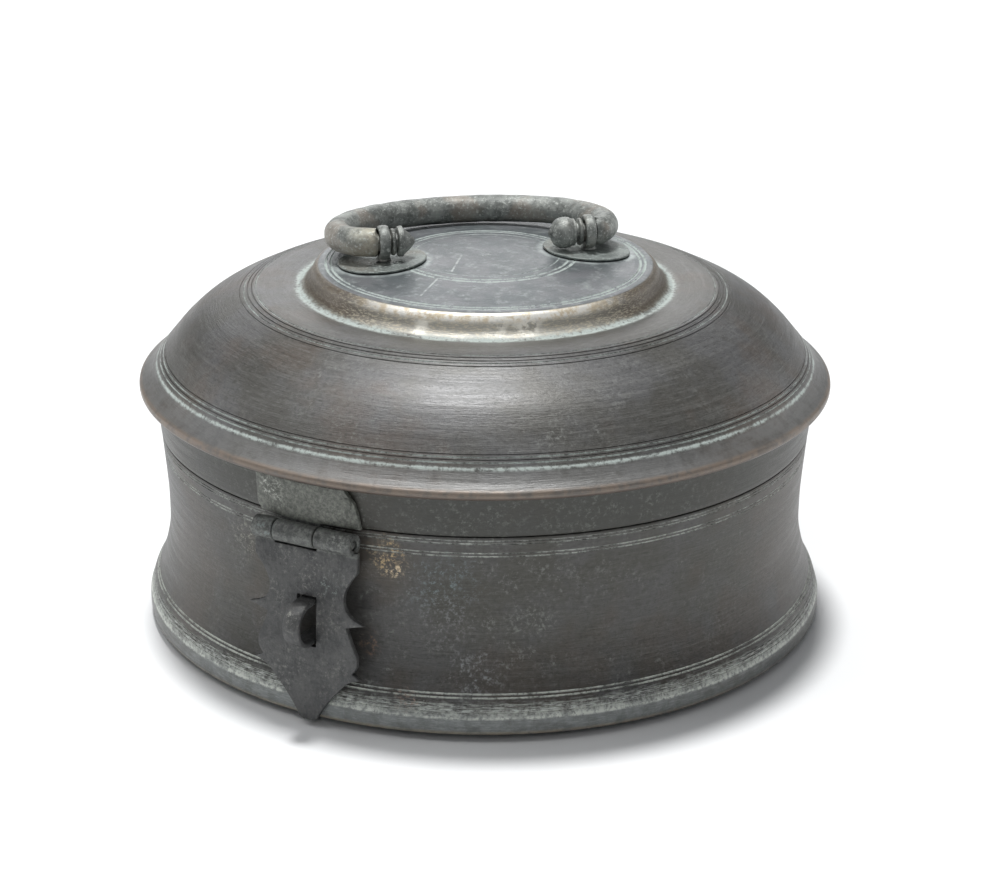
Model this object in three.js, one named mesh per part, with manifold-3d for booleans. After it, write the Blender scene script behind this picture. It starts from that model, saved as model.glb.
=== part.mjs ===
// Chapati box: a round brass bread box with a domed lid on a rear hinge, a folding bail
// handle and a front hasp that drops over a staple.
// Millimetres, +Z up. The origin is the middle of the flat underside, the hasp is at -Y.
import * as THREE from 'three';
import { mergeVertices } from 'three/addons/utils/BufferGeometryUtils.js';
import ManifoldModule from 'manifold-3d';

const wasm = await ManifoldModule();
wasm.setup();
const { Manifold, Mesh: ManifoldMesh } = wasm;

// Sizes that the whole box shares. The brim is the widest part, and the other radii follow it.
const brimRadius = 110;
const sheet = 1.8;
const seatGap = 0.32;
const slideGap = 0.4;
const overrun = 6;
const weldShare = 1e-7;

// Base: standing ring, lip, waist and seam
const lipFlare = 5.7;
const standInset = 17.3;
const standStep = 5;
const lipUnderside = 2.4;
const lipFace = 5.6;
const lipRounding = 0.7;
const waistTaper = 1.6;
const waistHeight = 33;
const flareBulge = 1.7;
const seamHeight = 62.4;
const wallBulge = 0.4;
const spigotWall = 1.5;
const spigotDepth = 9;

// Lid, from the skirt up to the middle of the disc
const skirtWall = 1.9;
const skirtLean = 1.2;
const skirtHeight = 13.1;
const brimOverhang = 5;
const brimUndercut = 0.5;
const brimFace = 2.6;
const brimHeight = 7.9;
const brimRoll = 5.7;
const domeHeight = 21.4;
const domeBulge = 2.8;
const domeTopShare = 0.704;
const shoulderWidth = 4;
const shoulderHeight = 1.5;
const plateauBulge = 0.35;
const ringShare = 0.539;
const coveWidth = 4;
const coveHeight = 3.7;
const coveBulge = 0.9;
const rollWidth = 2.2;
const rollHeight = 3;
const rollBulge = 0.75;
const discShare = 0.456;
const discSink = 0.3;
const discCrown = 2.7;

// Turned groove under the seam
const grooveWidth = 0.9;
const grooveDepth = 0.4;
const grooveDrop = 3.4;

// Handle: a C shaped rod that turns in two eyelets on the lid's disc
const handleTurn = 40.3;
const handleSet = 1.6;
const rodRadius = 4.5;
const eyeletSpreadShare = 0.656;
const bailReachShare = 0.866;
const bailSide = 9.9;
const bailShift = 2.2;
const bendReach = 12.3;
const endPlay = 0.5;
const neckRadius = 2.6;
const neckPlay = 1;
const eyeletWall = 1.85;
const eyeletWidth = 3.4;
const eyeletRounding = 0.7;
const beadRadius = 4.3;
const beadLength = 1.5;
const waistLength = 0.6;
const finialRadius = 5;
const finialGap = 0.9;
const finialFlange = 1.8;
const finialCone = 3.5;
const finialTipRadius = 1.1;
const finialTip = 0.4;
const ballWaist = 1.2;
const ballLength = 7.6;
const endRounding = 0.4;

// Handle pads and the eyelets' shanks
const padRadius = 14.2;
const padBack = 2.7;
const padSheet = 0.7;
const shankRadius = 1.6;
const clinchLength = 8;
const clinchSheet = 1.2;

// Front and rear barrels, which are alike, and the leaves that carry them
const barrelRadius = 3.35;
const barrelDrop = 3.25;
const pinRadius = 1.3;
const pinInset = 1.6;
const leafSheet = 1.5;
const leafHalfWidth = 17.4;
const leafLean = 5.6;
const leafSwell = 1.4;
const knuckleFromShare = -0.586;
const knuckleToShare = 0.2;
const knuckleClearance = 0.5;
const bodyLeafLength = 22.5;
const bodyLeafCorner = 5;

// Hasp plate, its slot and the staple
const haspSheet = 1.7;
const haspTipHeight = 2;
const haspLean = 1.6;
const slotTop = 18.1;
const slotPlay = 0.9;
const slotSidePlay = 0.5;
const stapleWidth = 5.4;
const stapleSheet = 1.6;
const stapleHeight = 13.8;
const stapleReach = 9;
const stapleClinch = 5;

// Rivets
const rivetRadius = 1.3;
const rivetHeadRadius = 2.4;
const rivetHead = 0.8;
const rivetPlay = 0.7;
const rivetSpreadShare = 0.69;
const lidRivetShare = 0.61;
const bodyRivetDrop = 14.5;

// How finely round shapes are cut
const bowlSides = 56;
const ringSides = 24;
const rodSides = 12;
const rodSteps = 40;
const smallSides = 12;
const curveSteps = 6;

const degree = Math.PI / 180;
const point = (x, y) => new THREE.Vector2(x, y);

// Colours and finishes as they look in the photograph
const finish = (name, color, roughness, metalness) => {
  const material = new THREE.MeshStandardMaterial({ color, roughness, metalness });
  material.name = name;
  return material;
};
const bodyBrass = () => finish('patinated_brass_body', 0x4b4843, 0.55, 0.75);
const lidBrass = () => finish('patinated_brass_lid', 0x4a4440, 0.5, 0.75);
const castBronze = () => finish('cast_bronze_handle', 0x6f6d63, 0.6, 0.7);
const haspBrass = () => finish('hasp_brass', 0x4e4d4b, 0.6, 0.7);
const pinBrass = () => finish('pin_brass', 0x5a554d, 0.5, 0.8);

// Points of an arc between two points. A positive bulge swells to the left of the way.
function arc(from, to, bulge, steps) {
  const chord = to.clone().sub(from);
  const left = point(-chord.y, chord.x).normalize();
  return Array.from({ length: steps + 1 }, (_, step) => {
    const share = step / steps;
    const swell = 4 * share * (1 - share) * bulge;
    return from.clone().addScaledVector(chord, share).addScaledVector(left, swell);
  });
}

// One path from several, without doubled points.
function join(...paths) {
  const all = paths.flat();
  return all.filter((p, n) => n === 0 || p.distanceTo(all[n - 1]) > 0);
}

// A path moved sideways to its left by a distance, with its corners kept sharp.
function offset(path, distance) {
  return path.map((p, n) => {
    const before = p.clone().sub(path[Math.max(n - 1, 0)]).normalize();
    const after = path[Math.min(n + 1, path.length - 1)].clone().sub(p).normalize();
    const way = before.clone().add(after).normalize();
    const bend = way.dot(before.length() > 0 ? before : after);
    return point(p.x - (way.y * distance) / bend, p.y + (way.x * distance) / bend);
  });
}

// The radius of a rising wall at a height, along its straight pieces.
function radiusAt(path, height) {
  for (let n = 1; n < path.length; n += 1) {
    const [low, high] = [path[n - 1], path[n]];
    if (height >= low.y && height <= high.y && high.y > low.y) {
      return low.x + ((high.x - low.x) * (height - low.y)) / (high.y - low.y);
    }
  }
  return height < path[0].y ? path[0].x : path[path.length - 1].x;
}

// The smallest radius of a wall between two heights.
function narrowest(path, low, high) {
  const between = path.filter((p) => p.y > low && p.y < high).map((p) => p.x);
  return Math.min(radiusAt(path, low), ...between, radiusAt(path, high));
}

// A path with a V groove cut in at its left, a distance before one of its points.
function groove(path, index, before) {
  const to = path[index];
  const way = to.clone().sub(path[index - 1]).normalize();
  const inward = point(-way.y, way.x);
  const edge = (along) => to.clone().addScaledVector(way, along - before);
  const vee = [
    edge(-grooveWidth / 2),
    edge(0).addScaledVector(inward, grooveDepth),
    edge(grooveWidth / 2),
  ];
  return [...path.slice(0, index), ...vee, ...path.slice(index)];
}

// A solid of manifold-3d from a closed three.js geometry.
function solid(geometry) {
  const bare = new THREE.BufferGeometry();
  bare.setAttribute('position', geometry.getAttribute('position'));
  bare.setIndex(geometry.getIndex());
  const welded = mergeVertices(bare, brimRadius * weldShare);
  const index = welded.getIndex().array;
  const kept = [];
  for (let n = 0; n < index.length; n += 3) {
    const [a, b, c] = [index[n], index[n + 1], index[n + 2]];
    if (a !== b && b !== c && c !== a) kept.push(a, b, c);
  }
  const mesh = new ManifoldMesh({
    numProp: 3,
    vertProperties: new Float32Array(welded.getAttribute('position').array),
    triVerts: new Uint32Array(kept),
  });
  mesh.merge();
  return new Manifold(mesh);
}

// A solid of revolution about Z. The path runs anticlockwise in radius and height.
function revolve(path, sides) {
  return solid(new THREE.LatheGeometry(path, sides).rotateX(Math.PI / 2));
}

// A closed ring of revolution about Z.
const revolveRing = (path, sides) => revolve([...path, path[0].clone()], sides);

// A flat outline in X and Z, extruded from y = 0 towards -Y.
function extrudeForward(shape, depth, curveSegments = smallSides) {
  const geometry = new THREE.ExtrudeGeometry(shape, { depth, bevelEnabled: false, curveSegments });
  return solid(geometry.rotateX(Math.PI / 2));
}

// A cylinder along X between two places.
function rodAlongX(radius, from, to, sides) {
  const geometry = new THREE.CylinderGeometry(radius, radius, to - from, sides);
  geometry.rotateZ(Math.PI / 2).translate((from + to) / 2, 0, 0);
  return solid(geometry);
}

// A cylinder along Z between two heights.
function rodAlongZ(radius, low, high, sides) {
  const geometry = new THREE.CylinderGeometry(radius, radius, high - low, sides);
  geometry.rotateX(Math.PI / 2).translate(0, 0, (low + high) / 2);
  return solid(geometry);
}

// A box between two corners.
function block(low, high) {
  const size = high.clone().sub(low);
  const middle = low.clone().add(high).multiplyScalar(0.5);
  const geometry = new THREE.BoxGeometry(size.x, size.y, size.z);
  geometry.translate(middle.x, middle.y, middle.z);
  return solid(geometry);
}

const at = (x, y, z) => new THREE.Vector3(x, y, z);

// A named mesh from a finished solid.
function mesh(name, form, material) {
  const made = form.getMesh();
  const geometry = new THREE.BufferGeometry();
  geometry.setAttribute('position', new THREE.BufferAttribute(made.vertProperties, 3));
  geometry.setIndex(new THREE.BufferAttribute(made.triVerts, 1));
  const flat = geometry.toNonIndexed();
  flat.computeVertexNormals();
  const part = new THREE.Mesh(flat, material);
  part.name = name;
  return part;
}

// Radii that follow from the brim, and the heights that both halves share

const skirtTopRadius = brimRadius - brimOverhang;
const skirtFootRadius = skirtTopRadius - skirtLean;
const lidBore = skirtFootRadius - skirtWall;
const skirtFoot = seamHeight + seatGap;
const seamRadius = skirtFootRadius - seatGap / 2;
const waistRadius = seamRadius - waistTaper;
const lipRadius = seamRadius + lipFlare;
const standRadius = lipRadius - standInset;
const domeFootRadius = brimRadius - brimRoll;
const domeTopRadius = brimRadius * domeTopShare;
const ringRadius = brimRadius * ringShare;
const discRadius = brimRadius * discShare;
const lidRivetHeight = skirtFoot + skirtHeight * lidRivetShare;

// Base outline

const lipTop = lipUnderside + lipFace;
const wallFoot = [
  point(0, 0),
  point(standRadius, 0),
  point(standRadius + standStep, lipUnderside - lipRounding / 2),
  point(lipRadius - lipRounding, lipUnderside),
  point(lipRadius, lipUnderside + lipRounding),
];
const wallFlare = arc(point(lipRadius, lipTop), point(waistRadius, waistHeight), flareBulge, 5);
const wallRise = arc(point(waistRadius, waistHeight), point(seamRadius, seamHeight), -wallBulge, 3);
const wallOutside = join(wallFlare, wallRise);
const baseOutside = join(wallFoot, wallOutside);

// The base, with the collar inside its mouth that the lid's skirt slides over.
function baseBody() {
  const ledge = seamHeight - spigotDepth;
  const spigotOutside = lidBore - slideGap;
  const spigotInside = spigotOutside - spigotWall;
  const spigotTop = lidRivetHeight - rivetHeadRadius - rivetPlay;
  const spigot = [
    point(spigotOutside, seamHeight),
    point(spigotOutside, spigotTop),
    point(spigotInside, spigotTop),
    point(spigotInside, ledge),
    point(radiusAt(wallOutside, ledge) - sheet, ledge),
  ];
  const inside = offset(baseOutside, sheet).slice(1).filter((p) => p.y < ledge);
  const turned = groove(baseOutside, baseOutside.length - 1, grooveDrop);
  const closed = join(turned, spigot, inside.reverse(), [point(0, sheet)]);
  return revolve(closed, bowlSides);
}

// Lid outline

const brimLow = skirtFoot + skirtHeight;
const domeFoot = brimLow + brimHeight;
const domeTop = domeFoot + domeHeight;
const plateauHeight = domeTop + shoulderHeight;
const rollFoot = plateauHeight + coveHeight;
const rollTop = rollFoot + rollHeight;
const discRim = rollTop + discSink;
const lidTop = discRim + discCrown;
const rollRadius = ringRadius - coveWidth;

const skirtOutside = [point(skirtFootRadius, skirtFoot), point(skirtTopRadius, brimLow - brimUndercut)];
const brimOutside = [
  point(brimRadius - brimFace / 2, brimLow),
  point(brimRadius, brimLow + brimFace / 2),
  point(brimRadius, brimLow + brimFace),
];
const brimBack = arc(
  point(brimRadius, brimLow + brimFace),
  point(domeFootRadius, domeFoot),
  -brimFace / 4,
  2,
);
const dome = arc(point(domeFootRadius, domeFoot), point(domeTopRadius, domeTop), -domeBulge, 5);
const plateau = arc(
  point(domeTopRadius - shoulderWidth, plateauHeight),
  point(ringRadius, plateauHeight),
  -plateauBulge,
  2,
);
const cove = arc(point(ringRadius, plateauHeight), point(rollRadius, rollFoot), coveBulge, 2);
const roll = arc(
  point(rollRadius, rollFoot),
  point(rollRadius - rollWidth, rollTop),
  -rollBulge,
  3,
);
const disc = arc(point(discRadius, discRim), point(0, lidTop), -discCrown / 4, 3);

// The height of the disc's upper face at a distance from the middle.
function discHeight(radius) {
  const share = radius / discRadius;
  return lidTop - discCrown * share * share;
}

function lidShell() {
  const shell = join(dome, plateau, cove, roll, disc);
  const outside = join(skirtOutside, brimOutside, brimBack, shell);
  const hollow = offset(shell, sheet).filter((p) => p.x < lidBore);
  hollow[hollow.length - 1].setX(0);
  const inside = [...hollow].reverse();
  const closed = join([point(lidBore, skirtFoot)], outside, inside);
  const boreTop = point(lidBore, hollow[0].y - (lidBore - hollow[0].x));
  return revolve([...closed, boreTop, point(lidBore, skirtFoot)], bowlSides);
}

// Places on the box that several pieces share

const barrelOut = seamRadius + slideGap + barrelRadius;
const barrelHeight = seamHeight - barrelDrop;
const knuckleFrom = leafHalfWidth * knuckleFromShare;
const knuckleTo = leafHalfWidth * knuckleToShare;
const boreRadius = pinRadius + seatGap;
const rivetSpread = leafHalfWidth * rivetSpreadShare;
const bodyRivetHeight = barrelHeight - bodyRivetDrop;
const eyeletSpread = discRadius * eyeletSpreadShare;
const eyeletHole = neckRadius + neckPlay;
const eyeletRadius = eyeletHole + eyeletWall;
const shoulder = eyeletSpread + eyeletWidth / 2 + endPlay;
const bailReach = discRadius * bailReachShare;
const padTop = discHeight(eyeletSpread) + seatGap + padSheet;
const axisHeight = padTop + finialRadius + finialGap;
const front = 0;
const rear = Math.PI;

// Where a rivet crosses a wall: local +Z points straight out of the leaf that lies on the wall.
function wallPlace(path, side, x, height) {
  const radius = radiusAt(path, height) + seatGap + leafSheet;
  const climb = radiusAt(path, height + sheet) - radiusAt(path, height - sheet);
  const lean = Math.atan2(climb, 2 * sheet);
  const turn = new THREE.Matrix4().makeRotationZ(side + Math.asin(x / radius));
  const move = new THREE.Matrix4().makeTranslation(0, -radius, height);
  const face = new THREE.Matrix4().makeRotationX(Math.PI / 2 + lean);
  return turn.multiply(move).multiply(face);
}

const placed = (form, matrix) => form.transform(matrix.elements);

// Every rivet: its name, the wall it crosses, the wall's thickness there and its place
const lidWallAtRivet = radiusAt(skirtOutside, lidRivetHeight) - lidBore;
const rivets = [
  ['hasp_rivet_left', skirtOutside, lidWallAtRivet, front, -rivetSpread, lidRivetHeight],
  ['hasp_rivet_right', skirtOutside, lidWallAtRivet, front, rivetSpread, lidRivetHeight],
  ['hinge_lid_rivet_left', skirtOutside, lidWallAtRivet, rear, rivetSpread, lidRivetHeight],
  ['hinge_lid_rivet_right', skirtOutside, lidWallAtRivet, rear, -rivetSpread, lidRivetHeight],
  ['hinge_body_rivet_left', wallOutside, sheet, rear, rivetSpread, bodyRivetHeight],
  ['hinge_body_rivet_right', wallOutside, sheet, rear, -rivetSpread, bodyRivetHeight],
].map(([name, path, wall, side, x, height]) => ({
  name,
  wall,
  place: wallPlace(path, side, x, height),
}));

// A solid with the holes of all the rivets that reach it.
function drilled(form) {
  const depth = leafSheet + skirtWall + overrun;
  const holes = rivets.map(({ place }) => {
    return placed(rodAlongZ(rivetRadius + seatGap, -depth, overrun, smallSides), place);
  });
  return form.subtract(Manifold.union(holes));
}

// Outlines of the domed head and the hammered tail, in shares of the head's radius and height.
const rivetDomeShares = [[1, 0], [0.9, 0.5], [0.5, 1], [0, 1]];
const rivetTailShares = [[0, 1], [0.7, 1], [1, 0]];

function rivet(wall) {
  const tail = -leafSheet - seatGap - wall - rivetPlay;
  const upset = rivetTailShares.map(([across, out]) => {
    return point(across * rivetHeadRadius, tail - out * rivetHead);
  });
  const dome = rivetDomeShares.map(([across, out]) => {
    return point(across * rivetHeadRadius, seatGap + out * rivetHead);
  });
  const shank = [point(rivetRadius, tail), point(rivetRadius, seatGap)];
  return revolve([...upset, ...shank, ...dome], smallSides);
}

// Handle

// Turns a solid from the handle's own frame into the box's.
const handleFrame = new THREE.Matrix4()
  .makeRotationZ(handleTurn * degree)
  .multiply(new THREE.Matrix4().makeTranslation(0, -handleSet, 0));

// A slab that follows the disc's face between two heights above it.
function discSlab(low, high) {
  const under = disc.map((p) => point(p.x, p.y + low)).reverse();
  const over = disc.map((p) => point(p.x, p.y + high));
  return revolve([...under, ...over], bowlSides);
}

const eyeletPlaces = [
  ['left', -eyeletSpread],
  ['right', eyeletSpread],
];

function pad(x) {
  const slab = discSlab(seatGap, seatGap + padSheet).translate([0, handleSet, 0]);
  const plug = rodAlongZ(padRadius, discRim - overrun, lidTop + overrun, ringSides);
  return slab.intersect(plug.translate([x, padBack, 0])).subtract(shankHole(x));
}

// An eye that stands on its pad; its shank goes through the lid, and its legs are bent over inside.
function eyelet(x) {
  const half = eyeletWidth / 2;
  const soft = eyeletRounding;
  const ring = revolveRing(
    [
      point(eyeletHole, soft / 2 - half),
      point(eyeletHole + soft, -half),
      point(eyeletRadius - soft, -half),
      point(eyeletRadius, soft - half),
      point(eyeletRadius, half - soft),
      point(eyeletRadius - soft, half),
      point(eyeletHole + soft, half),
      point(eyeletHole, half - soft / 2),
    ],
    ringSides,
  );
  const standing = ring.rotate([0, 90, 0]).translate([x, 0, axisHeight]);
  const below = discSlab(-overrun, seatGap + padSheet + seatGap).translate([0, handleSet, 0]);
  const tip = Math.hypot(eyeletSpread + shankRadius, clinchLength + handleSet);
  const legTop = discHeight(tip) - sheet - slideGap;
  const legFoot = legTop - clinchSheet;
  const shank = rodAlongZ(shankRadius, legFoot, axisHeight - eyeletHole - soft, smallSides);
  const leg = new THREE.Shape();
  leg.absarc(0, clinchLength - shankRadius, shankRadius, 0, Math.PI);
  leg.absarc(0, shankRadius - clinchLength, shankRadius, Math.PI, 2 * Math.PI);
  const legShape = { depth: clinchSheet, bevelEnabled: false, curveSegments: curveSteps };
  const legs = solid(new THREE.ExtrudeGeometry(leg, legShape)).translate([0, 0, legFoot]);
  const stem = shank.add(legs).translate([x, 0, 0]);
  return standing.subtract(below).add(stem);
}

// The middle line of the bail's rod, in the bail's own plane, from the right end to the left.
function bailLine() {
  const quarter = Array.from({ length: curveSteps + 1 }, (_, step) => {
    return ((step / curveSteps) * Math.PI) / 2;
  });
  const side = (halfWidth) => {
    const bend = halfWidth - eyeletSpread;
    const turn = quarter.map((angle) => {
      return point(eyeletSpread + bend * Math.sin(angle), bendReach * (1 - Math.cos(angle)));
    });
    const reach = bailReach - bendReach;
    const back = quarter.slice(1, -1).map((angle) => {
      return point(halfWidth * Math.cos(angle), bendReach + reach * Math.sin(angle));
    });
    return [...turn, ...back];
  };
  const right = side(eyeletSpread + bailSide - bailShift);
  const left = side(eyeletSpread + bailSide + bailShift).map((p) => point(-p.x, p.y));
  const middle = point(0, bailReach);
  const flat = [...right, middle, ...left.reverse()];
  return new THREE.CatmullRomCurve3(flat.map((p) => at(p.x, p.y, 0)), false, 'centripetal');
}

// Where the bead of a turned end starts and stops, along its axis from the shoulder
const beadFrom = eyeletWidth + 2 * endPlay;
const beadTo = beadFrom + beadLength;

// The left finial: a flange and a cone with a blunt point.
function pointedFinial() {
  const soft = endRounding;
  const flange = beadTo + waistLength;
  const cone = flange + finialFlange;
  return [
    point(neckRadius, flange),
    point(finialRadius - soft, flange),
    point(finialRadius, flange + soft),
    point(finialRadius, cone - soft),
    point(finialRadius - soft, cone),
    point(finialTipRadius, cone + finialCone),
    point(0, cone + finialCone + finialTip),
  ];
}

// Outline of the ball in shares of its radius and length.
const ballShares = [[0.62, 0], [0.92, 0.14], [1, 0.38], [0.92, 0.66], [0.64, 0.9]];

// The right finial: a ball with a small boss.
function ballFinial() {
  const start = beadTo + ballWaist;
  const boss = start + ballLength;
  return [
    point(neckRadius, start),
    ...ballShares.map(([out, along]) => point(out * finialRadius, start + along * ballLength)),
    point(finialTipRadius, boss),
    point(0, boss + finialTip),
  ];
}

// The turned end of the rod: neck, bead, waist and finial, along +Z from the shoulder.
function turnedEnd(finial) {
  const soft = endRounding;
  return revolve(
    [
      point(0, -rodRadius / 2),
      point(neckRadius, -rodRadius / 2),
      point(neckRadius, beadFrom),
      point(beadRadius - soft, beadFrom),
      point(beadRadius, beadFrom + soft),
      point(beadRadius, beadTo - soft),
      point(beadRadius - soft, beadTo),
      point(neckRadius, beadTo),
      ...finial,
    ],
    smallSides,
  );
}

function bail() {
  const round = new THREE.Shape().absarc(0, 0, rodRadius, 0, 2 * Math.PI);
  const rod = solid(
    new THREE.ExtrudeGeometry(round, {
      steps: rodSteps,
      curveSegments: rodSides / 2,
      extrudePath: bailLine(),
    }),
  );
  const right = turnedEnd(ballFinial()).rotate([0, -90, 0]).translate([shoulder, 0, 0]);
  const left = turnedEnd(pointedFinial()).rotate([0, 90, 0]).translate([-shoulder, 0, 0]);
  const clear = rodRadius + endPlay;
  const room = block(at(-shoulder, -clear, -clear), at(shoulder, bendReach / 2, clear));
  return rod.subtract(room).add(right).add(left);
}

// How far the folded bail dips from its axis down to the disc.
const restHeight = discHeight(bailReach - handleSet) + seatGap + rodRadius;
const bailDip = Math.asin((axisHeight - restHeight) / bailReach);

// Leaves and barrels

// A shell that lies on a wall of revolution between two heights.
function wallShell(path, low, high) {
  const between = path.map((p) => p.y).filter((height) => height > low && height < high);
  const line = [low, ...between, high].map((height) => point(radiusAt(path, height), height));
  const outer = line.map((p) => point(p.x + seatGap + leafSheet, p.y));
  const inner = line.map((p) => point(p.x + seatGap, p.y)).reverse();
  return revolveRing([...outer, ...inner], bowlSides);
}

// A cut through a barrel for the knuckles of the other leaf, around the barrel's axis.
function knuckleRoom(from, to) {
  const reach = barrelRadius + knuckleClearance;
  return block(at(from - seatGap, -reach, -reach), at(to + seatGap, reach, reach));
}

const barrelPlace = [0, -barrelOut, barrelHeight];

const knuckle = (from, to) => rodAlongX(barrelRadius, from, to, smallSides);
const bore = () => rodAlongX(boreRadius, -leafHalfWidth - overrun, leafHalfWidth + overrun, smallSides);

// Right and left sides of the lid's leaf, in shares of its lean or swell and of its height.
const leanShares = [[0.22, 0], [0.5, 0.67], [1, 1]];
const swellShares = [[1, 1], [1, 0.2], [0, 0]];

// The leaf on the lid's skirt, with the middle knuckle. A lean cuts its right side aslant.
function lidLeaf(lean, swell) {
  const foot = barrelHeight + barrelRadius + seatGap;
  const top = brimLow - brimUndercut - slideGap;
  const height = (share) => foot + share * (top - foot);
  const outline = new THREE.Shape([
    point(knuckleFrom, foot),
    point(knuckleFrom, barrelHeight),
    point(knuckleTo, barrelHeight),
    point(knuckleTo, foot),
    ...leanShares.map(([inward, up]) => point(leafHalfWidth - inward * lean, height(up))),
    ...swellShares.map(([outward, up]) => point(-leafHalfWidth - outward * swell, height(up))),
  ]);
  const shell = wallShell(skirtOutside, barrelHeight, top);
  const sheetPart = shell.intersect(extrudeForward(outline, barrelOut + overrun));
  const barrel = knuckle(knuckleFrom, knuckleTo).translate(barrelPlace);
  return sheetPart.add(barrel).subtract(bore().translate(barrelPlace));
}

// The leaf on the body's wall, with the two outer knuckles.
function bodyLeaf() {
  const top = barrelHeight - pinRadius;
  const foot = barrelHeight - bodyLeafLength;
  const outline = new THREE.Shape([
    point(-leafHalfWidth, top),
    point(-leafHalfWidth, foot + bodyLeafCorner),
    point(bodyLeafCorner - leafHalfWidth, foot),
    point(leafHalfWidth - bodyLeafCorner, foot),
    point(leafHalfWidth, foot + bodyLeafCorner),
    point(leafHalfWidth, top),
  ]);
  const shell = wallShell(wallOutside, foot, top);
  const sheetPart = shell.intersect(extrudeForward(outline, barrelOut + overrun));
  const ends = knuckle(-leafHalfWidth, leafHalfWidth).translate(barrelPlace);
  const room = knuckleRoom(knuckleFrom, knuckleTo).translate(barrelPlace);
  return sheetPart.add(ends).subtract(room).subtract(bore().translate(barrelPlace));
}

const pin = () => rodAlongX(pinRadius, pinInset - leafHalfWidth, leafHalfWidth - pinInset, smallSides);

// Hasp

// How far the plate must hang out to clear a point of the wall.
function hangOver(wall) {
  const drop = barrelHeight - wall.y;
  const reach = wall.x - barrelOut;
  const clear = Math.asin((haspSheet / 2 + seatGap) / Math.hypot(reach, drop));
  return Math.atan2(reach, drop) + clear;
}

const wallBelow = wallOutside.filter((p) => p.y < barrelHeight - barrelRadius);
const haspHang = Math.max(...wallBelow.map(hangOver));

const haspLength = barrelHeight - haspTipHeight;
const slotWidth = stapleWidth + 2 * slotSidePlay;
const slotLength = stapleHeight + 2 * slotPlay;
const slotMiddle = slotTop + slotLength / 2;
const slotX = haspLean * (slotMiddle / haspLength);

// Right edge of the plate in shares of its half width and length, from the barrel to the tip.
// Each row is a corner, or a control point and then the corner that a curve ends in.
const haspEdgeShares = [
  [[1, 0.145]],
  [[0.42, 0.329], [1.13, 0.413]],
  [[0.765, 0.448]],
  [[0.955, 0.591]],
  [[0.975, 0.709]],
  [[0.557, 0.812], [0.17, 0.974]],
  [[0, 1]],
];

// The hasp plate in its own frame: it hangs down from the barrel's axis, which is the origin.
function haspPlate() {
  const width = leafHalfWidth;
  const corner = (side, [across, down]) => {
    return [side * across * width + haspLean * down, -down * haspLength];
  };
  const outline = new THREE.Shape().moveTo(-width, 0).lineTo(width, 0);
  for (const row of haspEdgeShares) {
    const places = row.flatMap((share) => corner(1, share));
    if (row.length === 1) outline.lineTo(...places);
    else outline.quadraticCurveTo(...places);
  }
  const ends = haspEdgeShares.map((row) => row[row.length - 1]);
  for (let n = haspEdgeShares.length - 1; n >= 0; n -= 1) {
    const end = n > 0 ? ends[n - 1] : [1, 0];
    const row = haspEdgeShares[n];
    if (row.length === 1) outline.lineTo(...corner(-1, end));
    else outline.quadraticCurveTo(...corner(-1, row[0]), ...corner(-1, end));
  }
  const plate = extrudeForward(outline, haspSheet, curveSteps).translate([0, haspSheet / 2, 0]);
  const slot = block(
    at(slotX - slotWidth / 2, -haspSheet, -slotTop - slotLength),
    at(slotX + slotWidth / 2, haspSheet, -slotTop),
  );
  const knuckles = knuckle(-leafHalfWidth, leafHalfWidth);
  const room = knuckleRoom(knuckleFrom, knuckleTo);
  return plate.add(knuckles).subtract(slot).subtract(room).subtract(bore());
}

// Staple: a strip bent to a U that comes through the wall and the hasp's slot

const stapleMiddle = barrelHeight - slotMiddle * Math.cos(haspHang);
const haspFace = barrelOut + slotMiddle * Math.sin(haspHang) + haspSheet / 2;
const clinchTop = stapleMiddle + stapleHeight / 2 + stapleClinch;
const clinchFoot = stapleMiddle - stapleHeight / 2 - stapleClinch;
const stapleSeat = narrowest(wallOutside, clinchFoot, clinchTop) - sheet - slideGap;

// A flat outline in distance from the box's axis and height, extruded evenly about x = 0.
function extrudeAcross(shape, width) {
  const geometry = new THREE.ExtrudeGeometry(shape, { depth: width, bevelEnabled: false });
  geometry.translate(0, 0, -width / 2);
  const turn = new THREE.Matrix4().makeBasis(at(0, -1, 0), at(0, 0, 1), at(-1, 0, 0));
  return solid(geometry.applyMatrix4(turn));
}

// The legs go through the wall, and their ends are bent over inside it.
function staple() {
  const half = stapleHeight / 2;
  const inner = half - stapleSheet;
  const bow = haspFace + stapleReach - half;
  const back = stapleSeat - stapleSheet;
  const shape = new THREE.Shape();
  shape.moveTo(back, half + stapleClinch).lineTo(stapleSeat, half + stapleClinch);
  shape.lineTo(stapleSeat, half).lineTo(bow, half);
  shape.absarc(bow, 0, half, Math.PI / 2, -Math.PI / 2, true);
  shape.lineTo(stapleSeat, -half).lineTo(stapleSeat, -half - stapleClinch);
  shape.lineTo(back, -half - stapleClinch).lineTo(back, -inner).lineTo(bow, -inner);
  shape.absarc(bow, 0, inner, -Math.PI / 2, Math.PI / 2, false);
  shape.lineTo(back, inner);
  return extrudeAcross(shape, stapleWidth).translate([slotX, 0, stapleMiddle]);
}

// The two slots in the wall that the staple's legs pass through.
function stapleSlots() {
  const half = stapleHeight / 2;
  const across = stapleWidth / 2 + seatGap;
  const slots = [half - stapleSheet, -half].map((low) => {
    return block(
      at(slotX - across, -lipRadius - overrun, stapleMiddle + low - seatGap),
      at(slotX + across, stapleSheet - stapleSeat, stapleMiddle + low + stapleSheet + seatGap),
    );
  });
  return Manifold.union(slots);
}

// A hole for an eyelet's shank, through whatever lies on the lid's disc or under it.
function shankHole(x) {
  const radius = shankRadius + seatGap;
  return rodAlongZ(radius, discRim - overrun, lidTop + overrun, smallSides).translate([x, 0, 0]);
}

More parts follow.
